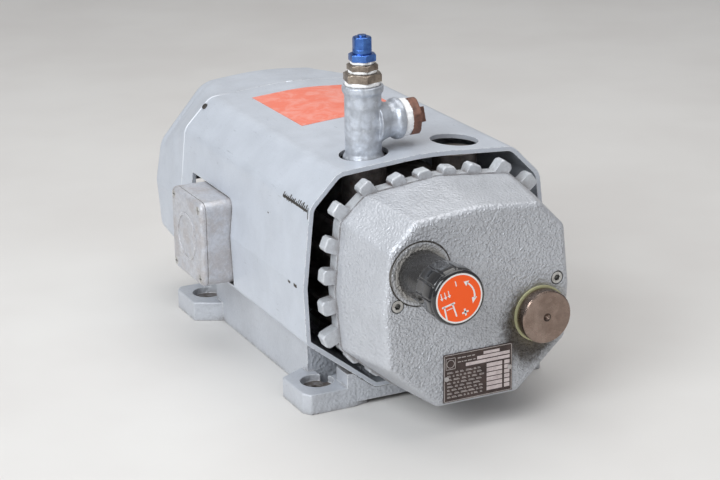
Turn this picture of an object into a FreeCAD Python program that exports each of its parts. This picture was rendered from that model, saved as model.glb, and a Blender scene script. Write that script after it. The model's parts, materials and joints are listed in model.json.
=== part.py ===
"""Oil-free rotary vane vacuum pump with its own motor, in an octagonal cooling cowl.

Millimetres. +Z is up, the shaft runs along Y and the front cover faces -Y. The origin is the
centre of the foot bolt pattern, on the surface that the feet stand on. Places along the shaft
are stations: distances from the cowl's front edge towards the rear, which Y() turns into y.
"""
import FreeCAD, Part
import math
import os

V = FreeCAD.Vector

# ---- driving dimensions -------------------------------------------------------------------
AXIS_Z = 113.0            # height of the shaft
FOOT_X = 93.0             # foot holes, from the middle plane
FOOT_STATION_FRONT = 27.5
FOOT_STATION_REAR = 277.5
LUG_HEIGHT = 18.0
LUG_HALF_LENGTH = 21.2
FOOT_HOLE_RADIUS = 4.5
FOOT_SINK_RADIUS = 14.5   # round counterbore in each lug
FOOT_SINK_FLOOR = 12.0
COWL_LENGTH = 280.0
COWL_WALL = 4.0
# Outlines are right halves from the top to the bottom: x, z and the corner's radius.
COWL_SECTION = [
    (0, 215, 300), (82, 209, 15), (108.5, 182, 15), (116, AXIS_Z, 5), (114, 64, 6), (51, 14, 8),
]
MIN_CORNER = 1.0

COWL_SCREW_PLACES = [(-30, 7), (30, 7), (-30, 274), (30, 274)]
COWL_SCREW_RADIUS = 2.5

WALL_OUT = 91.5           # base side walls, outside and inside
WALL_IN = 84.5
WALL_FRONT = 50.0
WALL_BACK = 258.0
WALL_HEIGHT = 60.0
BASE_CLEARANCE = 0.3      # between the base and the casing it carries
WEB_BOSS_X = 69.0
WEB_BOSS_STATION = 9.0
WEB_BOSS_RADIUS = 8.0
WEB_BOSS_TOP = 25.0
SADDLE_BOLTS = [
    (-22, 36), (22, 36), (-22, 66), (22, 66), (-22, 162), (22, 162), (-22, 218), (22, 218),
]
SADDLE_BOLT_RADIUS = 4.0

COVER_RIM = [
    (0, 199, 60), (66, 192, 9), (88.5, 172.5, 9), (94.5, 114, 12), (90, 62, 8), (40, 20, 8),
]
COVER_FACE = [
    (0, 192, 60), (56.5, 187, 8), (80, 164.5, 8), (85, 114, 12), (82.5, 67, 7), (37, 26, 7),
]
COVER_RIM_STATION = -18.0
COVER_STRIP = 8.0         # straight part behind the drafted sides
COVER_FACE_STATION = -89.0
COVER_EDGE = 5.5          # radius all round the face
COVER_WALL = 5.0
GASKET = 0.6

DOME_SHOULDER = [
    (0, 211.5, 300), (60, 206, 30), (107, 152, 30), (113.5, 113, 15), (110, 66, 15), (52, 20, 10),
]
DOME_SHOULDER_STATION = 344.0
DOME_ROLL = 22.0          # how far the dome closes in towards its back
DOME_REAR_STATION = 372.0
DOME_WALL = 3.0

DOME_SCREW_STATION = 275.0
UPPER_SCREW_SHARE = 0.27   # how far down the upper slanted side its screw sits
DOME_SCREW_RADIUS = 1.6
DOME_SLOT_PITCH = 13.0

TOOTH_COUNT = 24
TOOTH_WIDTH = 12.4
TOOTH_GAP = 5.0           # from the teeth to the inside of the cowl
TOOTH_BEVEL = 2.0
TOOTH_EDGE = 1.6
END_PLATE_BACK = -6.0

ECCENTRICITY = 6.0        # the bore lies this far below the shaft
BORE_RADIUS = 63.0
ROTOR_RADIUS = 56.9
CYLINDER_CORE_RADIUS = 78.0
HEAD_BOLTS = [22, 100, 140, 220, 260, 338]
HEAD_BOLT_CIRCLE = 73.5
HEAD_BOLT_RADIUS = 3.2
CYLINDER_FRONT = -6.0
CYLINDER_BACK = 102.0
ROTOR_END_PLAY = 0.05
VANE_COUNT = 4
VANE_THICKNESS = 4.85
VANE_HEIGHT = 30.0
SLOT_WIDTH = 5.0
SLOT_SPARE = 1.6          # room below a vane that is pushed fully in

PORT_X = 43.0
PORT_STATION = 33.0
PORT_TOP = 203.0
PORT_THREAD_RADIUS = 12.1
PORT_HOLE_RADIUS = 21.0   # holes in the cowl over the ports

FLANGE_BACK = 130.0
SHIELD_FRONT = 262.0
HOUSING_RADIUS = 74.0
STATOR_RADIUS = 66.0
CORE_FRONT = 150.0
CORE_BACK = 240.0
AIR_GAP = 0.5
MOTOR_ROTOR_RADIUS = 39.5
SHIELD_SCREW_ANGLES = [45, 135, 225, 315]
SHIELD_SCREW_CIRCLE = 70.0
SHIELD_SCREW_RADIUS = 2.1

KNOB_X = -53.0
KNOB_Z = 144.5
KNOB_RADIUS = 23.6
KNOB_FRONT = -153.0
KNOB_BACK = -119.3
FLUTE_COUNT = 12
LABEL_RADIUS = 20.3
SKIRT_RADIUS = 20.0
SPINDLE_RADIUS = 4.0
VALVE_TUBE_RADIUS = 15.2
VALVE_BORE_RADIUS = 12.0
NUT_FRONT = -88.0
NUT_BACK = -82.0
VALVE_DISC_FRONT = -50.0
VALVE_SEAT_FRONT = -44.0
SPRING_RADIUS = 7.6
SPRING_WIRE = 0.9
SPRING_TURNS = 5.0

PLUG_X = 57.0
PLUG_Z = 92.0
PLUG_HEAD_RADIUS = 22.6
PLUG_STEM_RADIUS = 19.5
COVER_SCREW_X = 73.5
COVER_SCREW_Z = 120.0
RIVET_X = [-30.5, 28.5]
RIVET_Z = 50.0

TEE_Z = 238.0
TEE_REACH = 33.0          # centre to each end
TEE_BODY_RADIUS = 15.5
TEE_BRANCH_RADIUS = 15.0
TEE_BEAD_RADIUS = 17.6
TEE_SKIRT_START = 9.0     # the cone between the run and the branch
TEE_SKIRT_LENGTH = 12.0
TEE_SKIRT_RADIUS = 19.5
TEE_BORE_RADIUS = 10.5
TEE_THREAD = 15.0
SIDE_TAPE = 6.5
# Heights of the fittings on the tee: tape, bush, tape, bush, tape, hexagon, cap and its nipple.
STACK = [271.0, 274.5, 281.5, 284.0, 289.0, 291.5, 297.5, 311.5, 313.0]

BOX_FRONT = 158.0
BOX_BACK = 231.0
BOX_LOW = 68.0
BOX_HIGH = 146.0
BOX_FACE_X = -143.0
BOX_EDGE = 8.0
LID_BACK_X = BOX_FACE_X + 5.6
LID_ROLL = 4.2
LID_SCREW_PLACES = [(165, 75), (224, 75), (165, 139), (224, 139)]
STUD_STATIONS = [183, 197, 211]
STUD_HEIGHTS = [97, 119]
GLAND_X = -121.0
GLAND_Z = 98.0


# ---- helpers ------------------------------------------------------------------------------
def Y(station):
    """The y of a station along the shaft."""
    return station - (FOOT_STATION_FRONT + FOOT_STATION_REAR) / 2


def save(name, *shapes):
    """Write one node: a single solid, or a group of separate solids."""
    solids = []
    for shape in shapes:
        solids.extend(shape.removeSplitter().Solids)
    node = solids[0] if len(solids) == 1 else Part.makeCompound(solids)
    node.exportStep("parts/" + name + ".step")
    return node


def full(half):
    """A closed outline from its right half, listed from the top to the bottom."""
    left = [(-x, z, radius) for x, z, radius in reversed(half) if x > 0]
    return list(half) + left


def inset(corners, distance):
    """A convex outline moved inwards by a distance; the corners run clockwise."""
    moved = []
    count = len(corners)
    for i in range(count):
        ax, az = corners[i - 1][:2]
        bx, bz, radius = corners[i]
        cx, cz = corners[(i + 1) % count][:2]
        first = math.atan2(bz - az, bx - ax)
        second = math.atan2(cz - bz, cx - bx)
        n1 = (math.sin(first), -math.cos(first))
        n2 = (math.sin(second), -math.cos(second))
        scale = distance / (1 + n1[0] * n2[0] + n1[1] * n2[1])
        x = bx + scale * (n1[0] + n2[0])
        z = bz + scale * (n1[1] + n2[1])
        moved.append((x, z, max(radius - distance, MIN_CORNER)))
    return moved


def outline(corners, station):
    """The closed wire of an outline, with an arc at every corner."""
    places = [V(x, Y(station), z) for x, z, _ in corners]
    count = len(places)
    arcs = []
    for i in range(count):
        here = places[i]
        back = (places[i - 1] - here).normalize()
        ahead = (places[(i + 1) % count] - here).normalize()
        half = back.getAngle(ahead) / 2
        radius = corners[i][2]
        reach = radius / math.tan(half)
        middle = here + (back + ahead).normalize() * (radius / math.sin(half) - radius)
        arcs.append((here + back * reach, middle, here + ahead * reach))
    edges = []
    for i in range(count):
        edges.append(Part.Arc(*arcs[i]).toShape())
        edges.append(Part.makeLine(arcs[i][2], arcs[(i + 1) % count][0]))
    return Part.Wire(edges)


def tunnel(corners, front, back):
    """A solid with one outline all along."""
    return Part.Face(outline(corners, front)).extrude(V(0, back - front, 0))


def loft(*sections):
    """A solid through (outline, station) pairs, with straight sides between them."""
    return Part.makeLoft([outline(corners, station) for corners, station in sections], True, True)


def prism(points, front, back):
    """A solid with sharp corners, through (x, z) points."""
    corners = [V(x, Y(front), z) for x, z in points]
    return Part.Face(Part.makePolygon(corners + corners[:1])).extrude(V(0, back - front, 0))


def block(x0, x1, front, back, z0, z1):
    return Part.makeBox(x1 - x0, back - front, z1 - z0, V(x0, Y(front), z0))


def disc(radius, front, back, x=0.0, z=AXIS_Z):
    return Part.makeCylinder(radius, back - front, V(x, Y(front), z), V(0, 1, 0))


def ring(outer, inner, front, back, x=0.0, z=AXIS_Z):
    return disc(outer, front, back, x, z).cut(disc(inner, front, back, x, z))


def post(radius, x, station, z0, z1):
    return Part.makeCylinder(radius, z1 - z0, V(x, Y(station), z0), V(0, 0, 1))


def hexagon(across_flats, centre, direction, length, turn=0.0, sides=6):
    """A prism with flats, standing on a centre point along a direction."""
    radius = across_flats / 2 / math.cos(math.pi / sides)
    corners = []
    for i in range(sides + 1):
        angle = math.radians(turn) + 2 * math.pi * i / sides
        corners.append(V(radius * math.cos(angle), radius * math.sin(angle), 0))
    solid = Part.Face(Part.makePolygon(corners)).extrude(V(0, 0, length))
    solid.Placement = FreeCAD.Placement(centre, FreeCAD.Rotation(V(0, 0, 1), direction))
    return solid


def turned(solid, degrees, x=0.0, z=AXIS_Z):
    """A copy turned about the shaft's direction; positive is clockwise seen from the rear."""
    copy = solid.copy()
    copy.rotate(V(x, 0, z), V(0, 1, 0), degrees)
    return copy


def polar(radius, degrees, x=0.0, z=AXIS_Z):
    """A point at an angle from straight up, as (x, z)."""
    angle = math.radians(degrees)
    return x + radius * math.sin(angle), z + radius * math.cos(angle)


def fused(shapes):
    return shapes[0].multiFuse(shapes[1:])


def socket_screw(x, z, head_front, head_radius, head_height, shank_radius, length, key):
    """A socket head cap screw along Y with its head towards the front."""
    head = disc(head_radius, head_front, head_front + head_height, x, z)
    shank = disc(shank_radius, head_front + head_height, head_front + head_height + length, x, z)
    socket = hexagon(key, V(x, Y(head_front), z), V(0, 1, 0), head_height * 0.6)
    return head.fuse(shank).cut(socket)


# ---- outer casing -------------------------------------------------------------------------
COWL_OUTLINE = full(COWL_SECTION)
COWL_INSIDE = inset(COWL_OUTLINE, COWL_WALL)


def cowl():
    """The cooling cowl: one octagonal tunnel, open at the front and below."""
    shell = tunnel(COWL_OUTLINE, 0, COWL_LENGTH).cut(tunnel(COWL_INSIDE, 0, COWL_LENGTH))
    for side in (-1, 1):
        shell = shell.cut(post(PORT_HOLE_RADIUS, side * PORT_X, PORT_STATION, 200, 220))
    window = block(-125, -100, 157, 254, 66, 147).cut(window_corner())
    shell = shell.cut(window)
    shell = shell.cut(block(-49, 49, 14, 266, 10, 20))
    for x, station in COWL_SCREW_PLACES:
        shell = shell.cut(post(2.7, x, station, 10, 20))
    return shell.cut(dome_screw_holes(DOME_SCREW_RADIUS))


def window_corner():
    """The rounded upper front corner of the terminal box window, as the piece left standing."""
    radius = 10.0
    corner = block(-125, -100, 157, 157 + radius, 147 - radius, 147)
    barrel = Part.makeCylinder(radius, 30, V(-127, Y(157 + radius), 147 - radius), V(1, 0, 0))
    return corner.cut(barrel)


def chamfer_points():
    """The screw places on each slanted side of the cowl, with its outward direction."""
    points = []
    for start, end, share in ((*COWL_SECTION[1:3], UPPER_SCREW_SHARE), (*COWL_SECTION[4:6], 0.5)):
        ax, az = start[:2]
        bx, bz = end[:2]
        length = math.hypot(bx - ax, bz - az)
        normal = (-(bz - az) / length, (bx - ax) / length)
        for side in (-1, 1):
            x = side * (ax + (bx - ax) * share)
            place = V(x, Y(DOME_SCREW_STATION), az + (bz - az) * share)
            points.append((place, V(side * normal[0], 0, normal[1])))
    return points


def dome_screw_holes(radius):
    holes = []
    for point, normal in chamfer_points():
        holes.append(Part.makeCylinder(radius, 30, point - normal * 20, normal))
    return Part.makeCompound(holes)


def dome_screws():
    """Four small pan head screws that hold the rear dome's tongue inside the cowl."""
    screws = []
    for point, normal in chamfer_points():
        head = Part.makeCylinder(2.9, 1.4, point, normal)
        shank = Part.makeCylinder(DOME_SCREW_RADIUS, 8.0, point - normal * 8.0, normal)
        screws.append(head.fuse(shank))
    return screws


def dome_sections(distance, lip):
    """Outlines of the dome, moved inwards by a distance; lip shortens the closed end."""
    shoulder = full(DOME_SHOULDER)
    depth = DOME_REAR_STATION - lip - DOME_SHOULDER_STATION
    sections = [(inset(COWL_OUTLINE, distance), COWL_LENGTH)]
    for degrees in range(0, 91, 15):
        angle = math.radians(degrees)
        closing = distance + DOME_ROLL * (1 - math.cos(angle))
        sections.append((inset(shoulder, closing), DOME_SHOULDER_STATION + depth * math.sin(angle)))
    return sections


def fan_cover():
    """The rear dome over the fan, with a tongue inside the cowl and air slots at the back."""
    outer = loft(*dome_sections(0.0, 0.0))
    inner = loft(*dome_sections(DOME_WALL, DOME_WALL))
    tongue_out = inset(COWL_OUTLINE, COWL_WALL)
    tongue_in = inset(COWL_OUTLINE, COWL_WALL + 2.5)
    tongue = tunnel(tongue_out, 268, COWL_LENGTH + 6).cut(tunnel(tongue_in, 268, COWL_LENGTH + 6))
    shell = outer.cut(inner).fuse(tongue)
    shell = shell.cut(block(-49, 49, 266, 282, 8, 23))
    for x, station in COWL_SCREW_PLACES:
        shell = shell.cut(post(6, x, station, 10, 30))
    for i in range(-5, 6):
        z = AXIS_Z + i * DOME_SLOT_PITCH
        half = math.sqrt(76.0 ** 2 - (i * DOME_SLOT_PITCH) ** 2)
        shell = shell.cut(block(-half, -4, 360, 380, z - 3, z + 3))
        shell = shell.cut(block(4, half, 360, 380, z - 3, z + 3))
    return shell.cut(dome_screw_holes(DOME_SCREW_RADIUS))


def base_frame():
    """The base casting: two side walls, cross webs with saddles, and four foot lugs."""
    outside = inset(COWL_OUTLINE, -BASE_CLEARANCE)
    shoulder = inset(full(DOME_SHOULDER), -BASE_CLEARANCE)
    room = tunnel(outside, -40, COWL_LENGTH + BASE_CLEARANCE)
    dome_room = loft((outside, COWL_LENGTH), (shoulder, DOME_SHOULDER_STATION))
    pieces = [
        block(-77, 77, 0, 22, 4, 30),
        block(-86, 86, WALL_FRONT, WALL_FRONT + 7, 4, WALL_HEIGHT),
        block(-86, 86, WALL_BACK - 8, WALL_BACK - 1, 4, WALL_HEIGHT),
        block(-86, 86, WALL_BACK - 1, 290, 4, 30),
    ]
    for side in (-1, 1):
        wall = sorted((side * WALL_IN, side * WALL_OUT))
        pieces.append(block(wall[0], wall[1], WALL_FRONT, WALL_BACK, 0, WALL_HEIGHT))
        pieces.append(lug(side, FOOT_STATION_FRONT, -1))
        pieces.append(lug(side, FOOT_STATION_REAR, 1))
        pieces.append(post(WEB_BOSS_RADIUS, side * WEB_BOSS_X, WEB_BOSS_STATION, 4, WEB_BOSS_TOP))
    body = fused(pieces).cut(room).cut(dome_room)
    body = body.fuse(block(-40, 40, 10, 284, 4, 13.7))
    body = body.fuse(block(-34, 34, 24, 78, 8, 33))
    body = body.fuse(block(-34, 34, 150, 230, 8, 35))
    for side in (-1, 1):
        for station in (FOOT_STATION_FRONT, FOOT_STATION_REAR):
            body = body.cut(post(FOOT_HOLE_RADIUS, side * FOOT_X, station, -1, 40))
            body = body.cut(post(FOOT_SINK_RADIUS, side * FOOT_X, station, FOOT_SINK_FLOOR, 40))
    for x, station in COWL_SCREW_PLACES:
        body = body.cut(post(COWL_SCREW_RADIUS, x, station, 6, 40))
    for x, station in SADDLE_BOLTS:
        body = body.cut(post(SADDLE_BOLT_RADIUS + 0.2, x, station, 0, 40))
        body = body.cut(post(8.0, x, station, 0, 16))
    return body


def lug(side, station, end):
    """A foot lug outside a wall, with its corners cut off; end is -1 at the front, 1 at the rear."""
    half = LUG_HALF_LENGTH
    points = [
        (WALL_IN, -end * (half + 13.0)), (WALL_OUT, -end * (half + 13.0)), (116, -end * half),
        (116, end * (half - 1.0)), (111, end * (half + 6.5)), (70, end * (half + 6.5)),
        (57, end * (half + 3.0)), (57, -end * 6.0), (WALL_IN, -end * 6.0),
    ]
    corners = [V(side * x, Y(station + along), 0) for x, along in points]
    solid = Part.Face(Part.makePolygon(corners + corners[:1])).extrude(V(0, 0, LUG_HEIGHT))
    upright = [e for e in solid.Edges if abs(e.Vertexes[0].Z - e.Vertexes[1].Z) > 1.0]
    solid = solid.makeFillet(2.5, upright)
    top = [e for e in solid.Edges if min(v.Z for v in e.Vertexes) > LUG_HEIGHT - 0.1]
    return solid.makeFillet(1.3, top)


def saddle_bolts():
    """Hexagon bolts from below the base into the pump cylinder and the motor housing."""
    bolts = []
    for x, station in SADDLE_BOLTS:
        head = hexagon(13, V(x, Y(station), 10.5), V(0, 0, 1), 5.5)
        bolts.append(head.fuse(post(SADDLE_BOLT_RADIUS, x, station, 16, 46)))
    return bolts


def cowl_screws():
    """Pan head screws that hold the cowl's bottom edge down on the base."""
    inside = COWL_SECTION[-1][1] + COWL_WALL
    screws = []
    for x, station in COWL_SCREW_PLACES:
        head = post(4.6, x, station, inside, inside + 3)
        screws.append(head.fuse(post(COWL_SCREW_RADIUS, x, station, 7, inside)))
    return screws


def top_label():
    """The thin warning-coloured sticker that bends over the cowl's crown."""
    film = tunnel(inset(COWL_OUTLINE, -0.25), 138, 250).cut(tunnel(COWL_OUTLINE, 138, 250))
    return film.common(block(-52, 52, 138, 250, 200, 220))


# ---- pump head ----------------------------------------------------------------------------
RIM_OUTLINE = full(COVER_RIM)


def cover_solid(distance, front):
    """The cover's outside, moved inwards by a distance, up to a front station."""
    face = full(COVER_FACE)
    sections = [
        (inset(RIM_OUTLINE, distance), COVER_RIM_STATION),
        (inset(RIM_OUTLINE, distance + 0.3), COVER_RIM_STATION - COVER_STRIP),
    ]
    for degrees in range(0, 91, 15):
        angle = math.radians(degrees)
        closing = distance - 0.8 + COVER_EDGE * (1 - math.cos(angle))
        sections.append((inset(face, closing), front + COVER_EDGE * (1 - math.sin(angle))))
    return loft(*sections)


def front_cover():
    """The cast front cover, with the boss for the valve and the thread for the filter plug."""
    face = COVER_FACE_STATION
    outside = cover_solid(0.0, face)
    shell = outside.cut(cover_solid(COVER_WALL, face + COVER_WALL))
    for side in (-1, 1):
        pillar = disc(8.5, face + 2, COVER_RIM_STATION, side * COVER_SCREW_X, COVER_SCREW_Z)
        shell = shell.fuse(pillar)
    shell = shell.common(outside)
    for side in (-1, 1):
        x = side * COVER_SCREW_X
        shell = shell.cut(disc(3.3, face - 1, COVER_RIM_STATION + 1, x, COVER_SCREW_Z))
        shell = shell.cut(disc(5.9, face - 1, face + 6.5, x, COVER_SCREW_Z))
    shell = shell.cut(disc(15.5, face - 1, face + 8, KNOB_X, KNOB_Z))
    shell = shell.cut(disc(PLUG_STEM_RADIUS, face - 1, face + 16, PLUG_X, PLUG_Z))
    shell = shell.fuse(ring(26.5, 15.5, face - 0.6, face + 8, KNOB_X, KNOB_Z))
    shell = shell.fuse(ring(24.0, PLUG_STEM_RADIUS, face, face + 16, PLUG_X, PLUG_Z))
    return shell.cut(ring(27.4, 26.5, face - 1, face + 1.0, KNOB_X, KNOB_Z))


def cover_screws():
    """The two socket head screws M6 in the cover's counterbores."""
    head_front = COVER_FACE_STATION + 0.5
    screws = []
    for side in (-1, 1):
        screws.append(socket_screw(side * COVER_SCREW_X, COVER_SCREW_Z, head_front, 5.0, 6.0, 3.0, 76.0, 5.0))
    return screws


def cover_gasket():
    back = COVER_RIM_STATION + GASKET
    seal = tunnel(RIM_OUTLINE, COVER_RIM_STATION, back)
    seal = seal.cut(tunnel(inset(RIM_OUTLINE, 6.0), COVER_RIM_STATION, back))
    for side in (-1, 1):
        seal = seal.cut(disc(3.4, -30, 0, side * COVER_SCREW_X, COVER_SCREW_Z))
    return seal


def tooth(angle, reach):
    """One cooling tooth of the end plate, radial, with its tip bevelled and its edges rounded."""
    half = TOOTH_WIDTH / 2
    tip = half - TOOTH_BEVEL
    points = [
        (-half, 60), (-half, reach - TOOTH_BEVEL), (-tip, reach), (tip, reach), (half, reach - TOOTH_BEVEL),
        (half, 60),
    ]
    solid = prism([(x, z + AXIS_Z) for x, z in points], COVER_RIM_STATION + GASKET, END_PLATE_BACK)
    edges = [e for e in solid.Edges if min(v.Z for v in e.Vertexes) > AXIS_Z + reach - TOOTH_BEVEL - 0.1]
    return turned(solid.makeFillet(TOOTH_EDGE, edges), angle)


def end_plate():
    """The plate that closes the cylinder in front, with its ring of cooling teeth."""
    front = COVER_RIM_STATION + GASKET
    limit = inset(COWL_OUTLINE, COWL_WALL + TOOTH_GAP)
    teeth = []
    for i in range(TOOTH_COUNT):
        angle = (i + 0.5) * 360 / TOOTH_COUNT
        teeth.append(tooth(angle, reach_of(limit, angle)))
    plate = tunnel(inset(RIM_OUTLINE, -1.4), front, END_PLATE_BACK).multiFuse(teeth)
    plate = plate.common(block(-130, 130, front, END_PLATE_BACK, 19, 230))
    plate = plate.fuse(disc(20, -36, front, KNOB_X, KNOB_Z))
    plate = plate.cut(disc(6, -40, END_PLATE_BACK + 1, KNOB_X, KNOB_Z))
    plate = plate.cut(disc(14, -30, END_PLATE_BACK + 1, PLUG_X - 14, PLUG_Z))
    for side in (-1, 1):
        plate = plate.cut(disc(3.0, -30, END_PLATE_BACK + 1, side * COVER_SCREW_X, COVER_SCREW_Z))
    for angle in HEAD_BOLTS:
        x, z = polar(HEAD_BOLT_CIRCLE, angle)
        plate = plate.cut(disc(HEAD_BOLT_RADIUS, -30, END_PLATE_BACK + 1, x, z))
    return plate


def reach_of(points, degrees):
    """How far a ray from the shaft goes before it leaves a closed outline."""
    dx = math.sin(math.radians(degrees))
    dz = math.cos(math.radians(degrees))
    best = None
    for i in range(len(points)):
        ax, az = points[i - 1][0], points[i - 1][1] - AXIS_Z
        bx, bz = points[i][0], points[i][1] - AXIS_Z
        across = dx * (bz - az) - dz * (bx - ax)
        if abs(across) < 1e-9:
            continue
        along = (ax * (bz - az) - az * (bx - ax)) / across
        share = (ax * dz - az * dx) / across
        if along > 0 and -1e-9 <= share <= 1 + 1e-9:
            best = along if best is None else min(best, along)
    return best


def cylinder():
    """The pump cylinder: an eccentric bore, two port bosses and a mounting block below."""
    core = disc(CYLINDER_CORE_RADIUS, CYLINDER_FRONT, CYLINDER_BACK)
    parts = [core]
    for side in (-1, 1):
        parts.append(post(19.0, side * PORT_X, PORT_STATION, 150, PORT_TOP))
    for i in range(TOOTH_COUNT):
        angle = i * 360 / TOOTH_COUNT
        if 150 < angle < 210 or angle < 60 or angle > 300:
            continue
        rib = block(-1.8, 1.8, CYLINDER_FRONT + 8, CYLINDER_BACK, AXIS_Z + 70, AXIS_Z + 90)
        parts.append(turned(rib, angle))
    parts.append(block(-34, 34, 24, 78, 33, 60))
    body = fused(parts)
    body = body.cut(disc(BORE_RADIUS, CYLINDER_FRONT - 1, CYLINDER_BACK + 1, 0, AXIS_Z - ECCENTRICITY))
    for side in (-1, 1):
        body = body.cut(post(9.0, side * PORT_X, PORT_STATION, 120, PORT_TOP + 1))
        body = body.cut(post(PORT_THREAD_RADIUS, side * PORT_X, PORT_STATION, PORT_TOP - 17, PORT_TOP + 1))
    for angle in HEAD_BOLTS:
        x, z = polar(HEAD_BOLT_CIRCLE, angle)
        body = body.cut(disc(HEAD_BOLT_RADIUS, CYLINDER_FRONT - 1, CYLINDER_BACK + 1, x, z))
    for x, station in SADDLE_BOLTS[:4]:
        body = body.cut(post(SADDLE_BOLT_RADIUS, x, station, 30, 47))
    return body


def head_bolts():
    """Long bolts through the end plate and the cylinder into the drive flange."""
    bolts = []
    front = COVER_RIM_STATION + GASKET
    for angle in HEAD_BOLTS:
        x, z = polar(HEAD_BOLT_CIRCLE, angle)
        head = hexagon(10, V(x, Y(front - 4), z), V(0, 1, 0), 4)
        bolts.append(head.fuse(disc(HEAD_BOLT_RADIUS, front, CYLINDER_BACK + 13, x, z)))
    return bolts


def drive_flange():
    """The plate between the cylinder and the motor, with the front bearing and seal pockets."""
    body = disc(CYLINDER_CORE_RADIUS, CYLINDER_BACK, CYLINDER_BACK + 14)
    body = body.fuse(disc(STATOR_RADIUS, CYLINDER_BACK + 14, FLANGE_BACK + 6))
    body = body.cut(disc(15.6, CYLINDER_BACK - 1, FLANGE_BACK))
    body = body.cut(disc(21, 105, FLANGE_BACK))
    body = body.cut(disc(31, 112, FLANGE_BACK + 7))
    for angle in HEAD_BOLTS:
        x, z = polar(HEAD_BOLT_CIRCLE, angle)
        body = body.cut(disc(HEAD_BOLT_RADIUS, CYLINDER_BACK - 1, CYLINDER_BACK + 13, x, z))
    return body


def shaft_seal():
    """The lip seal behind the rotor: a ring with its lip just clear of the shaft."""
    return ring(21, 17, 105, 112).fuse(ring(17.5, 15.04, 105, 107)).cut(disc(15.04, 104, 113))


# ---- running gear -------------------------------------------------------------------------
def shaft():
    """One shaft for the pump and the motor, stepped down towards both ends."""
    parts = [
        disc(12.5, 10, 101.95), disc(15, 101.95, 128), disc(17, 128, CORE_BACK + 10),
        disc(13, CORE_BACK + 10, SHIELD_FRONT), disc(10, SHIELD_FRONT, 285), disc(9.5, 285, 322),
    ]
    body = fused(parts)
    body = body.cut(disc(4, 9, 36))
    body = body.cut(ring(10.5, 9.0, 317, 318.4))
    body = body.cut(rotor_key())
    return body.cut(fan_key())


def rotor_key():
    return block(-4, 4, 22, 92, AXIS_Z + 8.5, AXIS_Z + 15.5)


def fan_key():
    return block(-2.5, 2.5, 292, 312, AXIS_Z + 6.5, AXIS_Z + 11.5)


def pump_rotor():
    """The slotted rotor, keyed to the shaft."""
    front = CYLINDER_FRONT + ROTOR_END_PLAY
    back = CYLINDER_BACK - ROTOR_END_PLAY
    body = disc(ROTOR_RADIUS, front, back)
    body = body.cut(disc(12.5, front - 1, back + 1))
    body = body.cut(disc(19, front - 1, 10))
    body = body.cut(rotor_key())
    depth = VANE_HEIGHT + SLOT_SPARE
    for angle in vane_angles():
        top = AXIS_Z + ROTOR_RADIUS + 1
        slot = block(-SLOT_WIDTH / 2, SLOT_WIDTH / 2, front - 1, back + 1, top - 1 - depth, top)
        body = body.cut(turned(slot, angle))
    return body


def vane_angles():
    return [45 + 90 * i for i in range(VANE_COUNT)]


def vane(angle):
    """One carbon vane with a bevelled tip, drawn fully inside its slot."""
    half = VANE_THICKNESS / 2
    tip = ROTOR_RADIUS - 0.08
    bevel = 1.2
    points = [
        (-half, tip - VANE_HEIGHT), (-half, tip - bevel), (-half + bevel, tip), (half, tip),
        (half, tip - VANE_HEIGHT),
    ]
    solid = prism([(x, z + AXIS_Z) for x, z in points], CYLINDER_FRONT + 0.1, CYLINDER_BACK - 0.1)
    return turned(solid, angle)


def rotor_washer():
    return ring(18.5, 4, 6.5, 10)


def rotor_bolt():
    head = hexagon(13, V(0, Y(1.0), AXIS_Z), V(0, 1, 0), 5.5)
    return head.fuse(disc(4, 6.5, 34))


def bearing(front, width, bore, outer, ball, count):
    """A ball bearing as (outer race, inner race, cage and balls)."""
    pitch = (bore + outer) / 2
    middle = front + width / 2
    groove = Part.makeTorus(pitch, ball + 0.1, V(0, Y(middle), AXIS_Z), V(0, 1, 0))
    outer_race = ring(outer, pitch + ball * 0.72, front, front + width).cut(groove)
    inner_race = ring(pitch - ball * 0.72, bore, front, front + width).cut(groove)
    cage = ring(pitch + ball * 0.26, pitch - ball * 0.26, middle - ball - 1.2, middle + ball + 1.2)
    balls = []
    for i in range(count):
        x, z = polar(pitch, 360 * i / count)
        outward = V(x, 0, z - AXIS_Z)
        outward.normalize()
        centre = V(x, Y(middle), z)
        cage = cage.cut(Part.makeCylinder(ball + 0.05, 2 * ball, centre - outward * ball, outward))
        balls.append(Part.makeSphere(ball, centre))
    return outer_race, inner_race, [cage] + balls


def motor_rotor():
    """The motor's rotor: a core with the two end rings of its cast cage and their cooling pegs."""
    body = ring(MOTOR_ROTOR_RADIUS, 17, CORE_FRONT, CORE_BACK)
    rings = [ring(38.5, 26, CORE_FRONT - 9, CORE_FRONT), ring(38.5, 26, CORE_BACK, CORE_BACK + 9)]
    pegs = []
    for i in range(9):
        x, z = polar(33, 40 * i)
        pegs.append(disc(2.6, CORE_FRONT - 12, CORE_FRONT - 9, x, z))
        pegs.append(disc(2.6, CORE_BACK + 9, CORE_BACK + 13, x, z))
    return fused([body] + rings + pegs)


def fan():
    """The cooling fan: a hub, a dished back plate and straight blades."""
    hub = disc(17, 289, 316)
    plate = disc(60, 289, 292)
    blades = []
    for i in range(9):
        blade = block(-1.6, 1.6, 290, 322, AXIS_Z + 15, AXIS_Z + 86)
        blades.append(turned(blade, 40 * i + 20))
    body = fused([hub, plate] + blades)
    body = body.cut(disc(22, 316, 330))
    return body.cut(disc(9.5, 288, 330)).cut(fan_key())


def fan_circlip():
    clip = ring(12.5, 9.0, 317, 318.4)
    return clip.cut(block(-2.5, 2.5, 316, 320, AXIS_Z - 14, AXIS_Z - 6))


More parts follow.
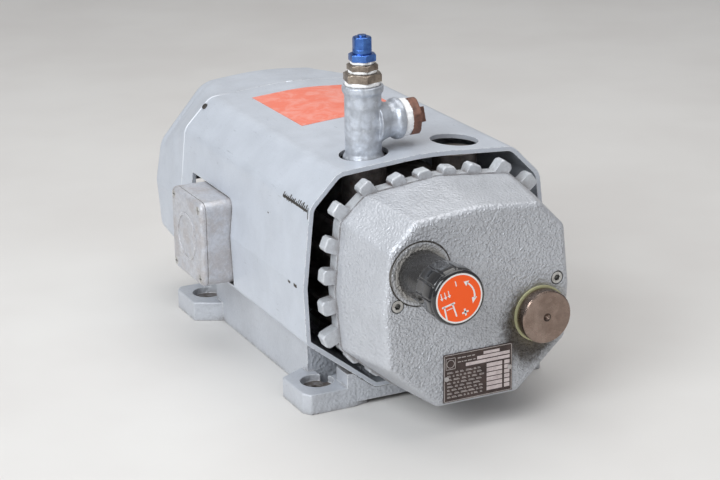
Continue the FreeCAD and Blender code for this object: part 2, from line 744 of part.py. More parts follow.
# ---- motor --------------------------------------------------------------------------------
def motor_housing():
    """The ribbed aluminium tube around the stator, with its foot and the terminal box pad."""
    parts = [disc(HOUSING_RADIUS, CYLINDER_BACK + 14, SHIELD_FRONT)]
    for i in range(24):
        angle = i * 15
        if 150 < angle < 210 or 240 < angle < 300:
            continue
        parts.append(turned(block(-1.6, 1.6, 124, 256, AXIS_Z + 70, AXIS_Z + 86), angle))
    parts.append(block(-34, 34, 150, 230, 35, 60))
    parts.append(block(-84, -60, 166, 234, 76, 138))
    body = fused(parts).cut(disc(STATOR_RADIUS, CYLINDER_BACK + 13, SHIELD_FRONT + 1))
    body = body.cut(block(-85, -50, 190, 210, 100, 120))
    for x, station in SADDLE_BOLTS[4:]:
        body = body.cut(post(SADDLE_BOLT_RADIUS, x, station, 30, 47))
    for angle in SHIELD_SCREW_ANGLES:
        x, z = polar(SHIELD_SCREW_CIRCLE, angle)
        body = body.cut(disc(SHIELD_SCREW_RADIUS, SHIELD_FRONT - 14, SHIELD_FRONT + 1, x, z))
    return body


def stator_slots(width, inner, outer):
    """Radial bars in the stator's slots, from one radius to another."""
    bars = []
    for i in range(24):
        bar = block(-width / 2, width / 2, CORE_FRONT, CORE_BACK, AXIS_Z + inner, AXIS_Z + outer)
        bars.append(turned(bar, 15 * i + 7.5))
    return bars


def stator_core():
    body = ring(STATOR_RADIUS, MOTOR_ROTOR_RADIUS + AIR_GAP, CORE_FRONT, CORE_BACK)
    return body.cut(Part.makeCompound(stator_slots(5.0, 42, 57)))


def stator_windings():
    """Copper in the slots, joined by the two rings of end turns."""
    rings = [ring(60, 42.5, CORE_FRONT - 13, CORE_FRONT), ring(60, 42.5, CORE_BACK, CORE_BACK + 15)]
    return fused(rings + stator_slots(5.0, 42, 57))


def rear_shield():
    """The rear end shield with its bearing pocket."""
    body = disc(HOUSING_RADIUS, SHIELD_FRONT, SHIELD_FRONT + 7).fuse(disc(31, SHIELD_FRONT, 281))
    body = body.cut(disc(23.5, SHIELD_FRONT - 1, 276)).cut(disc(11.2, 275, 282))
    for angle in SHIELD_SCREW_ANGLES:
        x, z = polar(SHIELD_SCREW_CIRCLE, angle)
        body = body.cut(disc(SHIELD_SCREW_RADIUS, SHIELD_FRONT - 1, SHIELD_FRONT + 8, x, z))
    return body


def shield_screws():
    screws = []
    for angle in SHIELD_SCREW_ANGLES:
        x, z = polar(SHIELD_SCREW_CIRCLE, angle)
        head = disc(4.0, SHIELD_FRONT + 7, SHIELD_FRONT + 11, x, z)
        shank = disc(SHIELD_SCREW_RADIUS, SHIELD_FRONT - 13, SHIELD_FRONT + 7, x, z)
        screws.append(head.fuse(shank))
    return screws


# ---- terminal box -------------------------------------------------------------------------
def rounded_slab(x0, x1, shrink):
    """A block across X with rounded edges, smaller than the box by a distance."""
    slab = block(x0, x1, BOX_FRONT + shrink, BOX_BACK - shrink, BOX_LOW + shrink, BOX_HIGH - shrink)
    edges = [e for e in slab.Edges if abs(e.Vertexes[0].X - e.Vertexes[1].X) > 0.1]
    return slab.makeFillet(max(BOX_EDGE - shrink, 2.0), edges)


def terminal_box():
    """The cast terminal box on the motor's side."""
    body = rounded_slab(LID_BACK_X, -84, 0.0).cut(rounded_slab(LID_BACK_X - 1, -88, 4.0))
    for station, z in LID_SCREW_PLACES:
        boss = Part.makeCylinder(4.5, 30, V(LID_BACK_X, Y(station), z), V(1, 0, 0))
        body = body.fuse(boss.common(rounded_slab(LID_BACK_X, -84, 0.0)))
    for station, z in LID_SCREW_PLACES:
        body = body.cut(Part.makeCylinder(2.0, 16, V(LID_BACK_X, Y(station), z), V(1, 0, 0)))
    body = body.cut(block(-89, -83, 190, 210, 100, 120))
    return body.cut(disc(8.0, BOX_BACK - 10, BOX_BACK + 5, GLAND_X, GLAND_Z))


def terminal_box_lid():
    """The lid: a slab with a rolled edge and a plain raised ring in the middle."""
    slab = rounded_slab(BOX_FACE_X, LID_BACK_X - 0.8, 0.0)
    rim = [e for e in slab.Edges if all(abs(v.X - BOX_FACE_X) < 0.01 for v in e.Vertexes)]
    slab = slab.makeFillet(LID_ROLL, rim)
    centre = V(BOX_FACE_X - 0.8, Y((BOX_FRONT + BOX_BACK) / 2), (BOX_LOW + BOX_HIGH) / 2)
    raised = Part.makeCylinder(22, 3, centre, V(1, 0, 0))
    raised = raised.cut(Part.makeCylinder(19.5, 3, centre, V(1, 0, 0)))
    slab = slab.fuse(raised)
    for station, z in LID_SCREW_PLACES:
        slab = slab.cut(Part.makeCylinder(2.0, 12, V(BOX_FACE_X - 1, Y(station), z), V(1, 0, 0)))
        slab = slab.cut(Part.makeCylinder(4.0, 3.5, V(BOX_FACE_X - 1, Y(station), z), V(1, 0, 0)))
    return slab


def lid_gasket():
    """The rubber seal under the lid."""
    seal = rounded_slab(LID_BACK_X - 0.8, LID_BACK_X, 0.6)
    seal = seal.cut(rounded_slab(LID_BACK_X - 1.8, LID_BACK_X + 1, 4.0))
    for station, z in LID_SCREW_PLACES:
        seal = seal.cut(Part.makeCylinder(2.2, 4, V(LID_BACK_X - 2, Y(station), z), V(1, 0, 0)))
    return seal


def lid_screws():
    """Four cross head screws, sunk in the lid."""
    reach = 2.6
    slit = 0.5
    front = BOX_FACE_X + 0.1
    floor = BOX_FACE_X + 1.2
    screws = []
    for station, z in LID_SCREW_PLACES:
        head = Part.makeCylinder(3.8, 2.4, V(front, Y(station), z), V(1, 0, 0))
        shank = Part.makeCylinder(2.0, 18, V(front + 2.4, Y(station), z), V(1, 0, 0))
        screw = head.fuse(shank)
        screw = screw.cut(block(-150, floor, station - reach, station + reach, z - slit, z + slit))
        screw = screw.cut(block(-150, floor, station - slit, station + slit, z - reach, z + reach))
        screws.append(screw)
    return screws


def stud_places():
    return [(station, z) for station in STUD_STATIONS for z in STUD_HEIGHTS]


def terminal_block():
    """The insulating block for the six studs."""
    body = block(-98, -88, 175, 219, 88, 128)
    for station, z in stud_places():
        body = body.cut(Part.makeCylinder(2.0, 12, V(-99, Y(station), z), V(1, 0, 0)))
    return body


def terminal_studs():
    """Six brass studs, each with its nut."""
    studs = []
    for station, z in stud_places():
        nut = hexagon(7, V(-102.5, Y(station), z), V(1, 0, 0), 3)
        studs.append(Part.makeCylinder(2.0, 20, V(-108, Y(station), z), V(1, 0, 0)).fuse(nut))
    return studs


def terminal_links():
    """Three brass straps under the nuts."""
    links = []
    for station in STUD_STATIONS:
        link = block(-99.5, -98, station - 4, station + 4, STUD_HEIGHTS[0] - 5, STUD_HEIGHTS[1] + 5)
        for z in STUD_HEIGHTS:
            link = link.cut(Part.makeCylinder(2.0, 4, V(-101, Y(station), z), V(1, 0, 0)))
        links.append(link)
    return links


def cable_gland():
    """The empty cable inlet on the back of the terminal box."""
    gland = disc(8.0, BOX_BACK - 5, BOX_BACK, GLAND_X, GLAND_Z)
    gland = gland.fuse(hexagon(17, V(GLAND_X, Y(BOX_BACK), GLAND_Z), V(0, 1, 0), 6))
    gland = gland.fuse(disc(7.6, BOX_BACK + 6, BOX_BACK + 13, GLAND_X, GLAND_Z))
    return gland.cut(disc(4.5, BOX_BACK - 6, BOX_BACK + 14, GLAND_X, GLAND_Z))


# ---- regulating valve ---------------------------------------------------------------------
def valve_body():
    """The fixed black skirt and the tube that carries the seat, spring and spindle."""
    body = disc(SKIRT_RADIUS, KNOB_BACK + 0.5, COVER_FACE_STATION - 0.6, KNOB_X, KNOB_Z)
    body = body.fuse(disc(VALVE_TUBE_RADIUS, COVER_FACE_STATION - 1, -36, KNOB_X, KNOB_Z))
    body = body.cut(disc(VALVE_BORE_RADIUS, -113, -35, KNOB_X, KNOB_Z))
    body = body.cut(disc(SPINDLE_RADIUS + 0.06, -125, -100, KNOB_X, KNOB_Z))
    for side in (-1, 1):
        middle = KNOB_X + side * 12.6
        body = body.cut(block(middle - 1.6, middle + 1.6, -100, -60, KNOB_Z - 1.6, KNOB_Z + 1.6))
    for angle in (45, 135, 225, 315):
        x, z = polar(17.5, angle, KNOB_X, KNOB_Z)
        body = body.cut(disc(1.6, KNOB_BACK - 0.2, -105, x, z))
    return body


def valve_seat():
    return ring(VALVE_BORE_RADIUS, 6, VALVE_SEAT_FRONT, -36, KNOB_X, KNOB_Z)


def valve_disc():
    """The sprung poppet that covers the seat."""
    body = disc(9, VALVE_DISC_FRONT + 1.5, VALVE_SEAT_FRONT - 0.02, KNOB_X, KNOB_Z)
    return body.fuse(disc(5.2, VALVE_DISC_FRONT - 4, VALVE_DISC_FRONT + 1.5, KNOB_X, KNOB_Z))


def spring_seat():
    """The nut that runs on the spindle and presses the spring; two tabs keep it from turning."""
    body = disc(11.5, NUT_FRONT, NUT_BACK, KNOB_X, KNOB_Z)
    for side in (-1, 1):
        middle = KNOB_X + side * 11.9
        tab = block(middle - 1.4, middle + 1.4, NUT_FRONT, NUT_BACK, KNOB_Z - 1.4, KNOB_Z + 1.4)
        body = body.fuse(tab)
    return body.cut(disc(SPINDLE_RADIUS + 0.06, NUT_FRONT - 1, NUT_BACK + 1, KNOB_X, KNOB_Z))


def valve_spring():
    """The compression spring between the nut and the poppet."""
    start = NUT_BACK + SPRING_WIRE + 0.25
    end = VALVE_DISC_FRONT + 1.5 - SPRING_WIRE - 0.25
    helix = Part.makeHelix((end - start) / SPRING_TURNS, end - start, SPRING_RADIUS)
    profile = Part.Wire([Part.makeCircle(SPRING_WIRE, V(SPRING_RADIUS, 0, 0), V(0, 1, 0))])
    coil = Part.Wire(helix).makePipeShell([profile], True, True)
    along_shaft = FreeCAD.Rotation(V(0, 0, 1), V(0, 1, 0))
    coil.Placement = FreeCAD.Placement(V(KNOB_X, Y(start), KNOB_Z), along_shaft)
    return coil


def spindle():
    """The threaded rod of the knob, with a collar that keeps it in the valve body."""
    body = disc(SPINDLE_RADIUS, KNOB_FRONT + 6, -58, KNOB_X, KNOB_Z)
    return body.fuse(disc(6.5, -112.7, -109, KNOB_X, KNOB_Z))


def knob():
    """The fluted knob, hollow from behind, pressed on the spindle."""
    body = disc(KNOB_RADIUS, KNOB_FRONT, KNOB_BACK, KNOB_X, KNOB_Z)
    front_edge = [e for e in body.Edges if e.Length > 100 and abs(e.CenterOfMass.y - Y(KNOB_FRONT)) < 0.1]
    body = body.makeFillet(2.5, front_edge)
    for i in range(FLUTE_COUNT):
        x, z = polar(KNOB_RADIUS + 0.6, 360 * i / FLUTE_COUNT, KNOB_X, KNOB_Z)
        body = body.cut(disc(1.5, KNOB_FRONT + 9, KNOB_BACK + 1, x, z))
    body = body.cut(ring(20.5, 8, KNOB_FRONT + 6, KNOB_BACK + 1, KNOB_X, KNOB_Z))
    body = body.cut(disc(SPINDLE_RADIUS, KNOB_FRONT + 6, KNOB_BACK + 1, KNOB_X, KNOB_Z))
    return body.cut(disc(LABEL_RADIUS, KNOB_FRONT - 1, KNOB_FRONT + 0.4, KNOB_X, KNOB_Z))


def knob_label():
    return disc(LABEL_RADIUS, KNOB_FRONT, KNOB_FRONT + 0.4, KNOB_X, KNOB_Z)


# ---- filter and its plug ------------------------------------------------------------------
def filter_plug():
    """The round screw plug over the filter, with a centre mark in its face."""
    head = disc(PLUG_HEAD_RADIUS, COVER_FACE_STATION - 12.5, COVER_FACE_STATION - 1.6, PLUG_X, PLUG_Z)
    rim = [e for e in head.Edges if e.Length > 100]
    head = head.makeChamfer(1.0, rim)
    stem = disc(PLUG_STEM_RADIUS, COVER_FACE_STATION - 1.6, COVER_FACE_STATION + 14, PLUG_X, PLUG_Z)
    dimple = Part.makeCone(3.2, 0.6, 2.4, V(PLUG_X, Y(COVER_FACE_STATION - 12.5), PLUG_Z), V(0, 1, 0))
    return head.fuse(stem).cut(dimple)


def plug_gasket():
    return ring(24.0, PLUG_STEM_RADIUS, COVER_FACE_STATION - 1.6, COVER_FACE_STATION, PLUG_X, PLUG_Z)


def filter_element():
    """The pleated paper cartridge behind the plug."""
    count = 24
    points = []
    for i in range(count * 2):
        radius = 17.5 if i % 2 else 13.5
        points.append(polar(radius, 180 * i / count, PLUG_X, PLUG_Z))
    outer = prism(points, -71, -28)
    return outer.cut(disc(10, -72, -27, PLUG_X, PLUG_Z))


def filter_caps():
    return [disc(18.0, -74, -71, PLUG_X, PLUG_Z), ring(18.0, 9, -28, -25, PLUG_X, PLUG_Z)]


def nameplate():
    """The thin plate low on the cover's face."""
    plate = block(-33, 31, COVER_FACE_STATION - 0.8, COVER_FACE_STATION, 29, 71)
    for x in RIVET_X:
        plate = plate.cut(disc(1.2, COVER_FACE_STATION - 5, COVER_FACE_STATION + 5, x, RIVET_Z))
    return plate


def nameplate_rivets():
    rivets = []
    front = COVER_FACE_STATION - 0.8
    for x in RIVET_X:
        head = disc(2.0, front - 0.8, front, x, RIVET_Z)
        rivets.append(head.fuse(disc(1.2, front, COVER_FACE_STATION, x, RIVET_Z)))
    return rivets


# ---- pipe fittings on the inlet -----------------------------------------------------------
def inlet_nipple():
    """The short pipe between the inlet port and the tee."""
    return post(PORT_THREAD_RADIUS, -PORT_X, PORT_STATION, PORT_TOP - 15, TEE_Z - 20).cut(
        post(9.0, -PORT_X, PORT_STATION, PORT_TOP - 16, TEE_Z - 19))


def tee():
    """The malleable iron tee: one upright run and one branch towards +X, with rolled beads."""
    centre = V(-PORT_X, Y(PORT_STATION), TEE_Z)
    ends = [V(0, 0, 1), V(0, 0, -1), V(1, 0, 0)]
    run = post(TEE_BODY_RADIUS, -PORT_X, PORT_STATION, TEE_Z - TEE_REACH, TEE_Z + TEE_REACH)
    body = run.fuse(Part.makeCylinder(TEE_BRANCH_RADIUS, TEE_REACH, centre, V(1, 0, 0)))
    skirt_start = centre + V(TEE_SKIRT_START, 0, 0)
    skirt = Part.makeCone(TEE_SKIRT_RADIUS, TEE_BRANCH_RADIUS, TEE_SKIRT_LENGTH, skirt_start, V(1, 0, 0))
    body = body.fuse(skirt)
    for direction in ends:
        body = body.fuse(bead(centre + direction * TEE_REACH, direction * -1))
    for direction in ends:
        body = body.cut(Part.makeCylinder(TEE_BORE_RADIUS, TEE_REACH - 14, centre, direction))
        thread_start = centre + direction * (TEE_REACH - TEE_THREAD)
        body = body.cut(Part.makeCylinder(PORT_THREAD_RADIUS, TEE_THREAD, thread_start, direction))
    return body


def bead(end, inward):
    """The rolled bead at an open end of the tee."""
    collar = Part.makeCylinder(TEE_BEAD_RADIUS, 5.0, end, inward)
    cone = Part.makeCone(TEE_BEAD_RADIUS, TEE_BODY_RADIUS, 3.0, end + inward * 5.0, inward)
    rim = [e for e in collar.Edges if e.Length > 100]
    return collar.makeFillet(1.2, rim).fuse(cone)


def bevelled_hex(across_flats, z0, z1, turn):
    """A hexagon standing on Z with its corners rounded off at the top."""
    solid = hexagon(across_flats, V(-PORT_X, Y(PORT_STATION), z0), V(0, 0, 1), z1 - z0, turn)
    corner = across_flats / 2 / math.cos(math.pi / 6)
    cone = Part.makeCone(corner + 1.6 * (z1 - z0), across_flats / 2 * 0.98, z1 - z0 + 0.001,
                         V(-PORT_X, Y(PORT_STATION), z0), V(0, 0, 1))
    return solid.common(cone)


def hex_bush():
    """The bronze reducing bush in the top of the tee."""
    body = bevelled_hex(29.0, STACK[1], STACK[2], 18)
    body = body.fuse(post(PORT_THREAD_RADIUS, -PORT_X, PORT_STATION, STACK[0] - 13, STACK[1]))
    return body.cut(post(8.0, -PORT_X, PORT_STATION, STACK[0] - 14, STACK[2] + 1))


def small_bush():
    """The second, smaller bronze bush."""
    body = bevelled_hex(23.0, STACK[3], STACK[4], 24)
    body = body.fuse(post(8.0, -PORT_X, PORT_STATION, STACK[3] - 12, STACK[3]))
    return body.cut(post(5.0, -PORT_X, PORT_STATION, STACK[3] - 13, STACK[4] + 1))


def hose_fitting():
    """The blue anodised fitting: a hexagon with a threaded spigot."""
    body = bevelled_hex(20.5, STACK[5], STACK[6], 20)
    body = body.fuse(post(5.0, -PORT_X, PORT_STATION, STACK[5] - 9, STACK[5]))
    body = body.fuse(post(4.5, -PORT_X, PORT_STATION, STACK[6], STACK[6] + 9))
    return body.cut(post(2.5, -PORT_X, PORT_STATION, STACK[5] - 10, STACK[6] + 10))


def fitting_cap():
    """The blue cap screwed on the fitting."""
    body = post(8.0, -PORT_X, PORT_STATION, STACK[6], STACK[7])
    crown = [e for e in body.Edges if e.Length > 40 and abs(e.CenterOfMass.z - STACK[7]) < 0.1]
    body = body.makeFillet(1.6, crown)
    flats = hexagon(14.8, V(-PORT_X, Y(PORT_STATION), STACK[6] + 3.5), V(0, 0, 1), 12, 20)
    body = body.common(flats.fuse(post(8.0, -PORT_X, PORT_STATION, STACK[6], STACK[6] + 3.5)))
    body = body.fuse(post(3.6, -PORT_X, PORT_STATION, STACK[7] - 1, STACK[8]))
    return body.cut(post(4.5, -PORT_X, PORT_STATION, STACK[6] - 1, STACK[6] + 9))


def tape_ring(outer, inner, low, high):
    return post(outer, -PORT_X, PORT_STATION, low, high).cut(post(inner, -PORT_X, PORT_STATION, low, high))


def seal_tapes():
    """Rings of white sealing tape squeezed out at the four screwed joints."""
    start = V(TEE_REACH - PORT_X, Y(PORT_STATION), TEE_Z)
    side = Part.makeCylinder(15.6, SIDE_TAPE, start, V(1, 0, 0))
    return [
        tape_ring(15.6, PORT_THREAD_RADIUS, STACK[0], STACK[1]),
        tape_ring(12.6, 8.0, STACK[2], STACK[3]),
        tape_ring(11.0, 5.0, STACK[4], STACK[5]),
        side.cut(Part.makeCylinder(PORT_THREAD_RADIUS, SIDE_TAPE, start, V(1, 0, 0))),
    ]


def side_plug():
    """The brown iron plug in the tee's branch: a hexagon with a square head."""
    face = V(TEE_REACH - PORT_X + SIDE_TAPE, Y(PORT_STATION), TEE_Z)
    body = hexagon(31, face, V(1, 0, 0), 8.0, 12)
    body = body.common(Part.makeCone(21, 16.5, 8.0, face, V(1, 0, 0)))
    body = body.fuse(hexagon(13, face + V(8.0, 0, 0), V(1, 0, 0), 7.5, 25, 4))
    stem = Part.makeCylinder(PORT_THREAD_RADIUS, SIDE_TAPE + 13, face - V(SIDE_TAPE + 13, 0, 0), V(1, 0, 0))
    return body.fuse(stem)


# ---- write the nodes ----------------------------------------------------------------------
def main():
    os.makedirs("parts", exist_ok=True)
    save("base_frame", base_frame())
    save("cowl", cowl())
    save("fan_cover", fan_cover())
    save("casing_screws", *dome_screws(), *cowl_screws(), *shield_screws())
    save("saddle_bolts", *saddle_bolts())
    save("top_label", top_label())

    save("front_cover", front_cover())
    save("cover_screws", *cover_screws())
    save("cover_gasket", cover_gasket())
    save("end_plate", end_plate())
    save("pump_cylinder", cylinder())
    save("head_bolts", *head_bolts())
    save("drive_flange", drive_flange())
    save("shaft_seal", shaft_seal())
    save("nameplate", nameplate())
    save("nameplate_rivets", *nameplate_rivets())

    save("shaft", shaft())
    save("shaft_keys_and_clip", rotor_key(), fan_key(), fan_circlip())
    save("pump_rotor", pump_rotor())
    save("rotor_bolt_and_washer", rotor_bolt(), rotor_washer())
    for number, angle in enumerate(vane_angles(), 1):
        save("vane_%d" % number, vane(angle))
    front_outer, front_inner, front_balls = bearing(112, 16, 15, 31, 4.6, 9)
    rear_outer, rear_inner, rear_balls = bearing(262, 14, 10, 23.5, 3.9, 8)
    save("bearing_outer_races", front_outer, rear_outer)
    save("bearing_inner_races", front_inner, rear_inner)
    save("front_bearing_balls", *front_balls)
    save("rear_bearing_balls", *rear_balls)
    save("motor_rotor", motor_rotor())
    save("fan", fan())

    save("motor_housing", motor_housing())
    save("stator_core", stator_core())
    save("stator_windings", stator_windings())
    save("rear_shield", rear_shield())

    save("terminal_box", terminal_box())
    save("terminal_box_lid", terminal_box_lid())
    save("lid_gasket", lid_gasket())
    save("lid_screws", *lid_screws())
    save("terminal_block", terminal_block())
    save("terminal_hardware", *terminal_studs(), *terminal_links())
    save("cable_gland", cable_gland())

    save("valve_body", valve_body())
    save("valve_seat", valve_seat())
    save("valve_disc", valve_disc())
    save("spring_seat", spring_seat())
    save("valve_spring", valve_spring())
    save("spindle", spindle())
    save("knob", knob())
    save("knob_label", knob_label())

    save("filter_plug", filter_plug())
    save("plug_gasket", plug_gasket())
    save("filter_cartridge", filter_element(), *filter_caps())

    save("inlet_nipple", inlet_nipple())
    save("tee", tee())
    save("hex_bush", hex_bush())
    save("small_bush", small_bush())
    save("hose_fitting", hose_fitting())
    save("fitting_cap", fitting_cap())
    save("seal_tapes", *seal_tapes())
    save("side_plug", side_plug())


if __name__ == "__main__":
    main()
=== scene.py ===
"""Looks of the rotary vane vacuum pump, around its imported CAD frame. Metres, in the part's own frame."""
import bpy
import json
import math
import random
from mathutils import Matrix, Vector, noise
from mathutils.bvhtree import BVHTree


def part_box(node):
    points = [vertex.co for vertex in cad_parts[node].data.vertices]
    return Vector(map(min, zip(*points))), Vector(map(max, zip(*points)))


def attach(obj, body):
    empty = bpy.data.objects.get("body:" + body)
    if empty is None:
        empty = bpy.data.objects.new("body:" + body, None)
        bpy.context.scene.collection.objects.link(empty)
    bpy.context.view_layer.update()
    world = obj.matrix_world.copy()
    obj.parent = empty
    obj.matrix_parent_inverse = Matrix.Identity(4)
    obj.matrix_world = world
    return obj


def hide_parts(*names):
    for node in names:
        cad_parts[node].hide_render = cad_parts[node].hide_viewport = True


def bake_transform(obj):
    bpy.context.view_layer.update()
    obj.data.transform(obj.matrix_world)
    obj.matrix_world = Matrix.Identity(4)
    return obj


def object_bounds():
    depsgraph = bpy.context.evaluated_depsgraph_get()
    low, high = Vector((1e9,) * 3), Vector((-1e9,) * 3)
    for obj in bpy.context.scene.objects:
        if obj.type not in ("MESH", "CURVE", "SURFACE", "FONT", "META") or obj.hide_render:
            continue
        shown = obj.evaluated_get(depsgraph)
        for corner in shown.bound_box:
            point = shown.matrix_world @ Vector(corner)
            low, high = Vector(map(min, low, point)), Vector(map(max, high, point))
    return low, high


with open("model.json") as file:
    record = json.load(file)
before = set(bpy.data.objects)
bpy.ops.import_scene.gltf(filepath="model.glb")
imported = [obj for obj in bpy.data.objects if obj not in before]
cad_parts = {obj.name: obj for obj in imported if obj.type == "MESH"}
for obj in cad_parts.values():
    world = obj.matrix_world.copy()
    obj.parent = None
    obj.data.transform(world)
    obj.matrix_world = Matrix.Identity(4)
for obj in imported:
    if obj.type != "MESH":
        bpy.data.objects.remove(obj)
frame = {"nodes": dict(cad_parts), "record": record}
cad_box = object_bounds()
nodes = frame["nodes"]
rng = random.Random(7)
MM = 0.001


def middle(node):
    """The centre of a CAD node's box."""
    low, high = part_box(node)
    return (low + high) / 2


KNOB = middle("knob")
PLUG = middle("filter_plug")
SHAFT = middle("motor_rotor")


# ---- material building blocks -------------------------------------------------------------
class Nodes:
    """A material under construction. Every method returns an output socket."""

    def __init__(self, name):
        self.material = bpy.data.materials.new(name)
        self.material.use_nodes = True
        self.tree = self.material.node_tree
        self.tree.nodes.clear()
        self.output = self.tree.nodes.new("ShaderNodeOutputMaterial")
        self.shader = self.tree.nodes.new("ShaderNodeBsdfPrincipled")
        self.tree.links.new(self.shader.outputs[0], self.output.inputs[0])
        self.place = self.tree.nodes.new("ShaderNodeTexCoord").outputs["Object"]

    def put(self, node, key, value):
        """Links a socket to one of a node's inputs, or writes a plain value on it."""
        socket = node.inputs[key]
        if isinstance(value, bpy.types.NodeSocket):
            self.tree.links.new(value, socket)
        elif socket.type == "RGBA" and not isinstance(value, (int, float)):
            socket.default_value = (*value[:3], 1.0)
        else:
            socket.default_value = value

    def set(self, **values):
        """Fills in the shader; an underscore in a name stands for a space."""
        for key, value in values.items():
            self.put(self.shader, key.replace("_", " "), value)

    def math(self, operation, a, b=0.0):
        node = self.tree.nodes.new("ShaderNodeMath")
        node.operation = operation
        self.put(node, 0, a)
        self.put(node, 1, b)
        return node.outputs[0]

    def vector(self, operation, a, b=(0, 0, 0), out=0):
        node = self.tree.nodes.new("ShaderNodeVectorMath")
        node.operation = operation
        self.put(node, 0, a)
        if operation == "SCALE":
            self.put(node, "Scale", b)
        else:
            self.put(node, 1, b)
        return node.outputs[out]

    def noise(self, size, detail=3.0, rough=0.55, warp=0.0, stretch=None, seed=0.0, out=0):
        """Noise whose features are about size metres across."""
        node = self.tree.nodes.new("ShaderNodeTexNoise")
        place = self.place
        if stretch:
            place = self.vector("MULTIPLY", place, stretch)
        if seed:
            place = self.vector("ADD", place, (seed, -seed, seed * 0.7))
        self.put(node, "Vector", place)
        self.put(node, "Scale", 1.0 / size)
        self.put(node, "Detail", detail)
        self.put(node, "Roughness", rough)
        self.put(node, "Distortion", warp)
        return node.outputs[out]

    def cells(self, size, feature="SMOOTH_F1", smooth=0.6, wobble=0.0, wobble_size=0.01):
        """Distance inside cells about size metres across, their borders bent by noise."""
        node = self.tree.nodes.new("ShaderNodeTexVoronoi")
        node.feature = feature
        place = self.place
        if wobble:
            shift = self.vector("SUBTRACT", self.noise(wobble_size, 2.0, out=1), (0.5, 0.5, 0.5))
            place = self.vector("ADD", place, self.vector("SCALE", shift, wobble))
        self.put(node, "Vector", place)
        self.put(node, "Scale", 1.0 / size)
        if feature == "SMOOTH_F1":
            self.put(node, "Smoothness", smooth)
        return node.outputs["Distance"]

    def fit(self, value, low, high, to_low=0.0, to_high=1.0):
        """A value moved from one range to another, and held inside it."""
        node = self.tree.nodes.new("ShaderNodeMapRange")
        node.interpolation_type = "SMOOTHSTEP"
        self.put(node, 0, value)
        for key, number in enumerate((low, high, to_low, to_high), 1):
            self.put(node, key, number)
        return node.outputs[0]

    def mix(self, share, a, b):
        node = self.tree.nodes.new("ShaderNodeMix")
        node.data_type = "RGBA"
        self.put(node, 0, share)
        self.put(node, 6, a)
        self.put(node, 7, b)
        return node.outputs[2]

    def bump(self, height, distance, strength=1.0, normal=None):
        node = self.tree.nodes.new("ShaderNodeBump")
        self.put(node, "Height", height)
        self.put(node, "Distance", distance)
        self.put(node, "Strength", strength)
        if normal is not None:
            self.put(node, "Normal", normal)
        return node.outputs[0]

    def rounded(self, radius):
        """The surface's direction with its edges rounded off."""
        node = self.tree.nodes.new("ShaderNodeBevel")
        node.samples = 6
        self.put(node, "Radius", radius)
        return node.outputs[0]

    def edges(self, radius):
        """Near 1 close to an edge of the mesh, 0 elsewhere."""
        true = self.tree.nodes.new("ShaderNodeNewGeometry").outputs["True Normal"]
        along = self.vector("DOT_PRODUCT", self.rounded(radius), true, out=1)
        return self.fit(self.math("SUBTRACT", 1.0, along), 0.01, 0.16)

    def crevices(self, distance):
        """1 in corners and gaps, where shade falls, 0 on open surfaces; the materials paint shade with it."""
        node = self.tree.nodes.new("ShaderNodeAmbientOcclusion")
        node.samples = 6
        self.put(node, "Distance", distance)
        return self.math("SUBTRACT", 1.0, node.outputs["AO"])

    def span(self, x, y):
        """The length of a vector with these two parts."""
        node = self.tree.nodes.new("ShaderNodeCombineXYZ")
        self.put(node, 0, x)
        self.put(node, 1, y)
        return self.vector("LENGTH", node.outputs[0], out=1)

    def axis(self, index):
        """One coordinate in the part's frame."""
        node = self.tree.nodes.new("ShaderNodeSeparateXYZ")
        self.put(node, 0, self.place)
        return node.outputs[index]

    def facing(self, index):
        """One part of the surface's direction, in the part's frame."""
        node = self.tree.nodes.new("ShaderNodeSeparateXYZ")
        self.put(node, 0, self.tree.nodes.new("ShaderNodeTexCoord").outputs["Normal"])
        return node.outputs[index]

    def near(self, point, plane=(1, 1, 1)):
        """The distance from a point, counting only the axes that plane keeps."""
        apart = self.vector("MULTIPLY", self.vector("SUBTRACT", self.place, point), plane)
        return self.vector("LENGTH", apart, out=1)


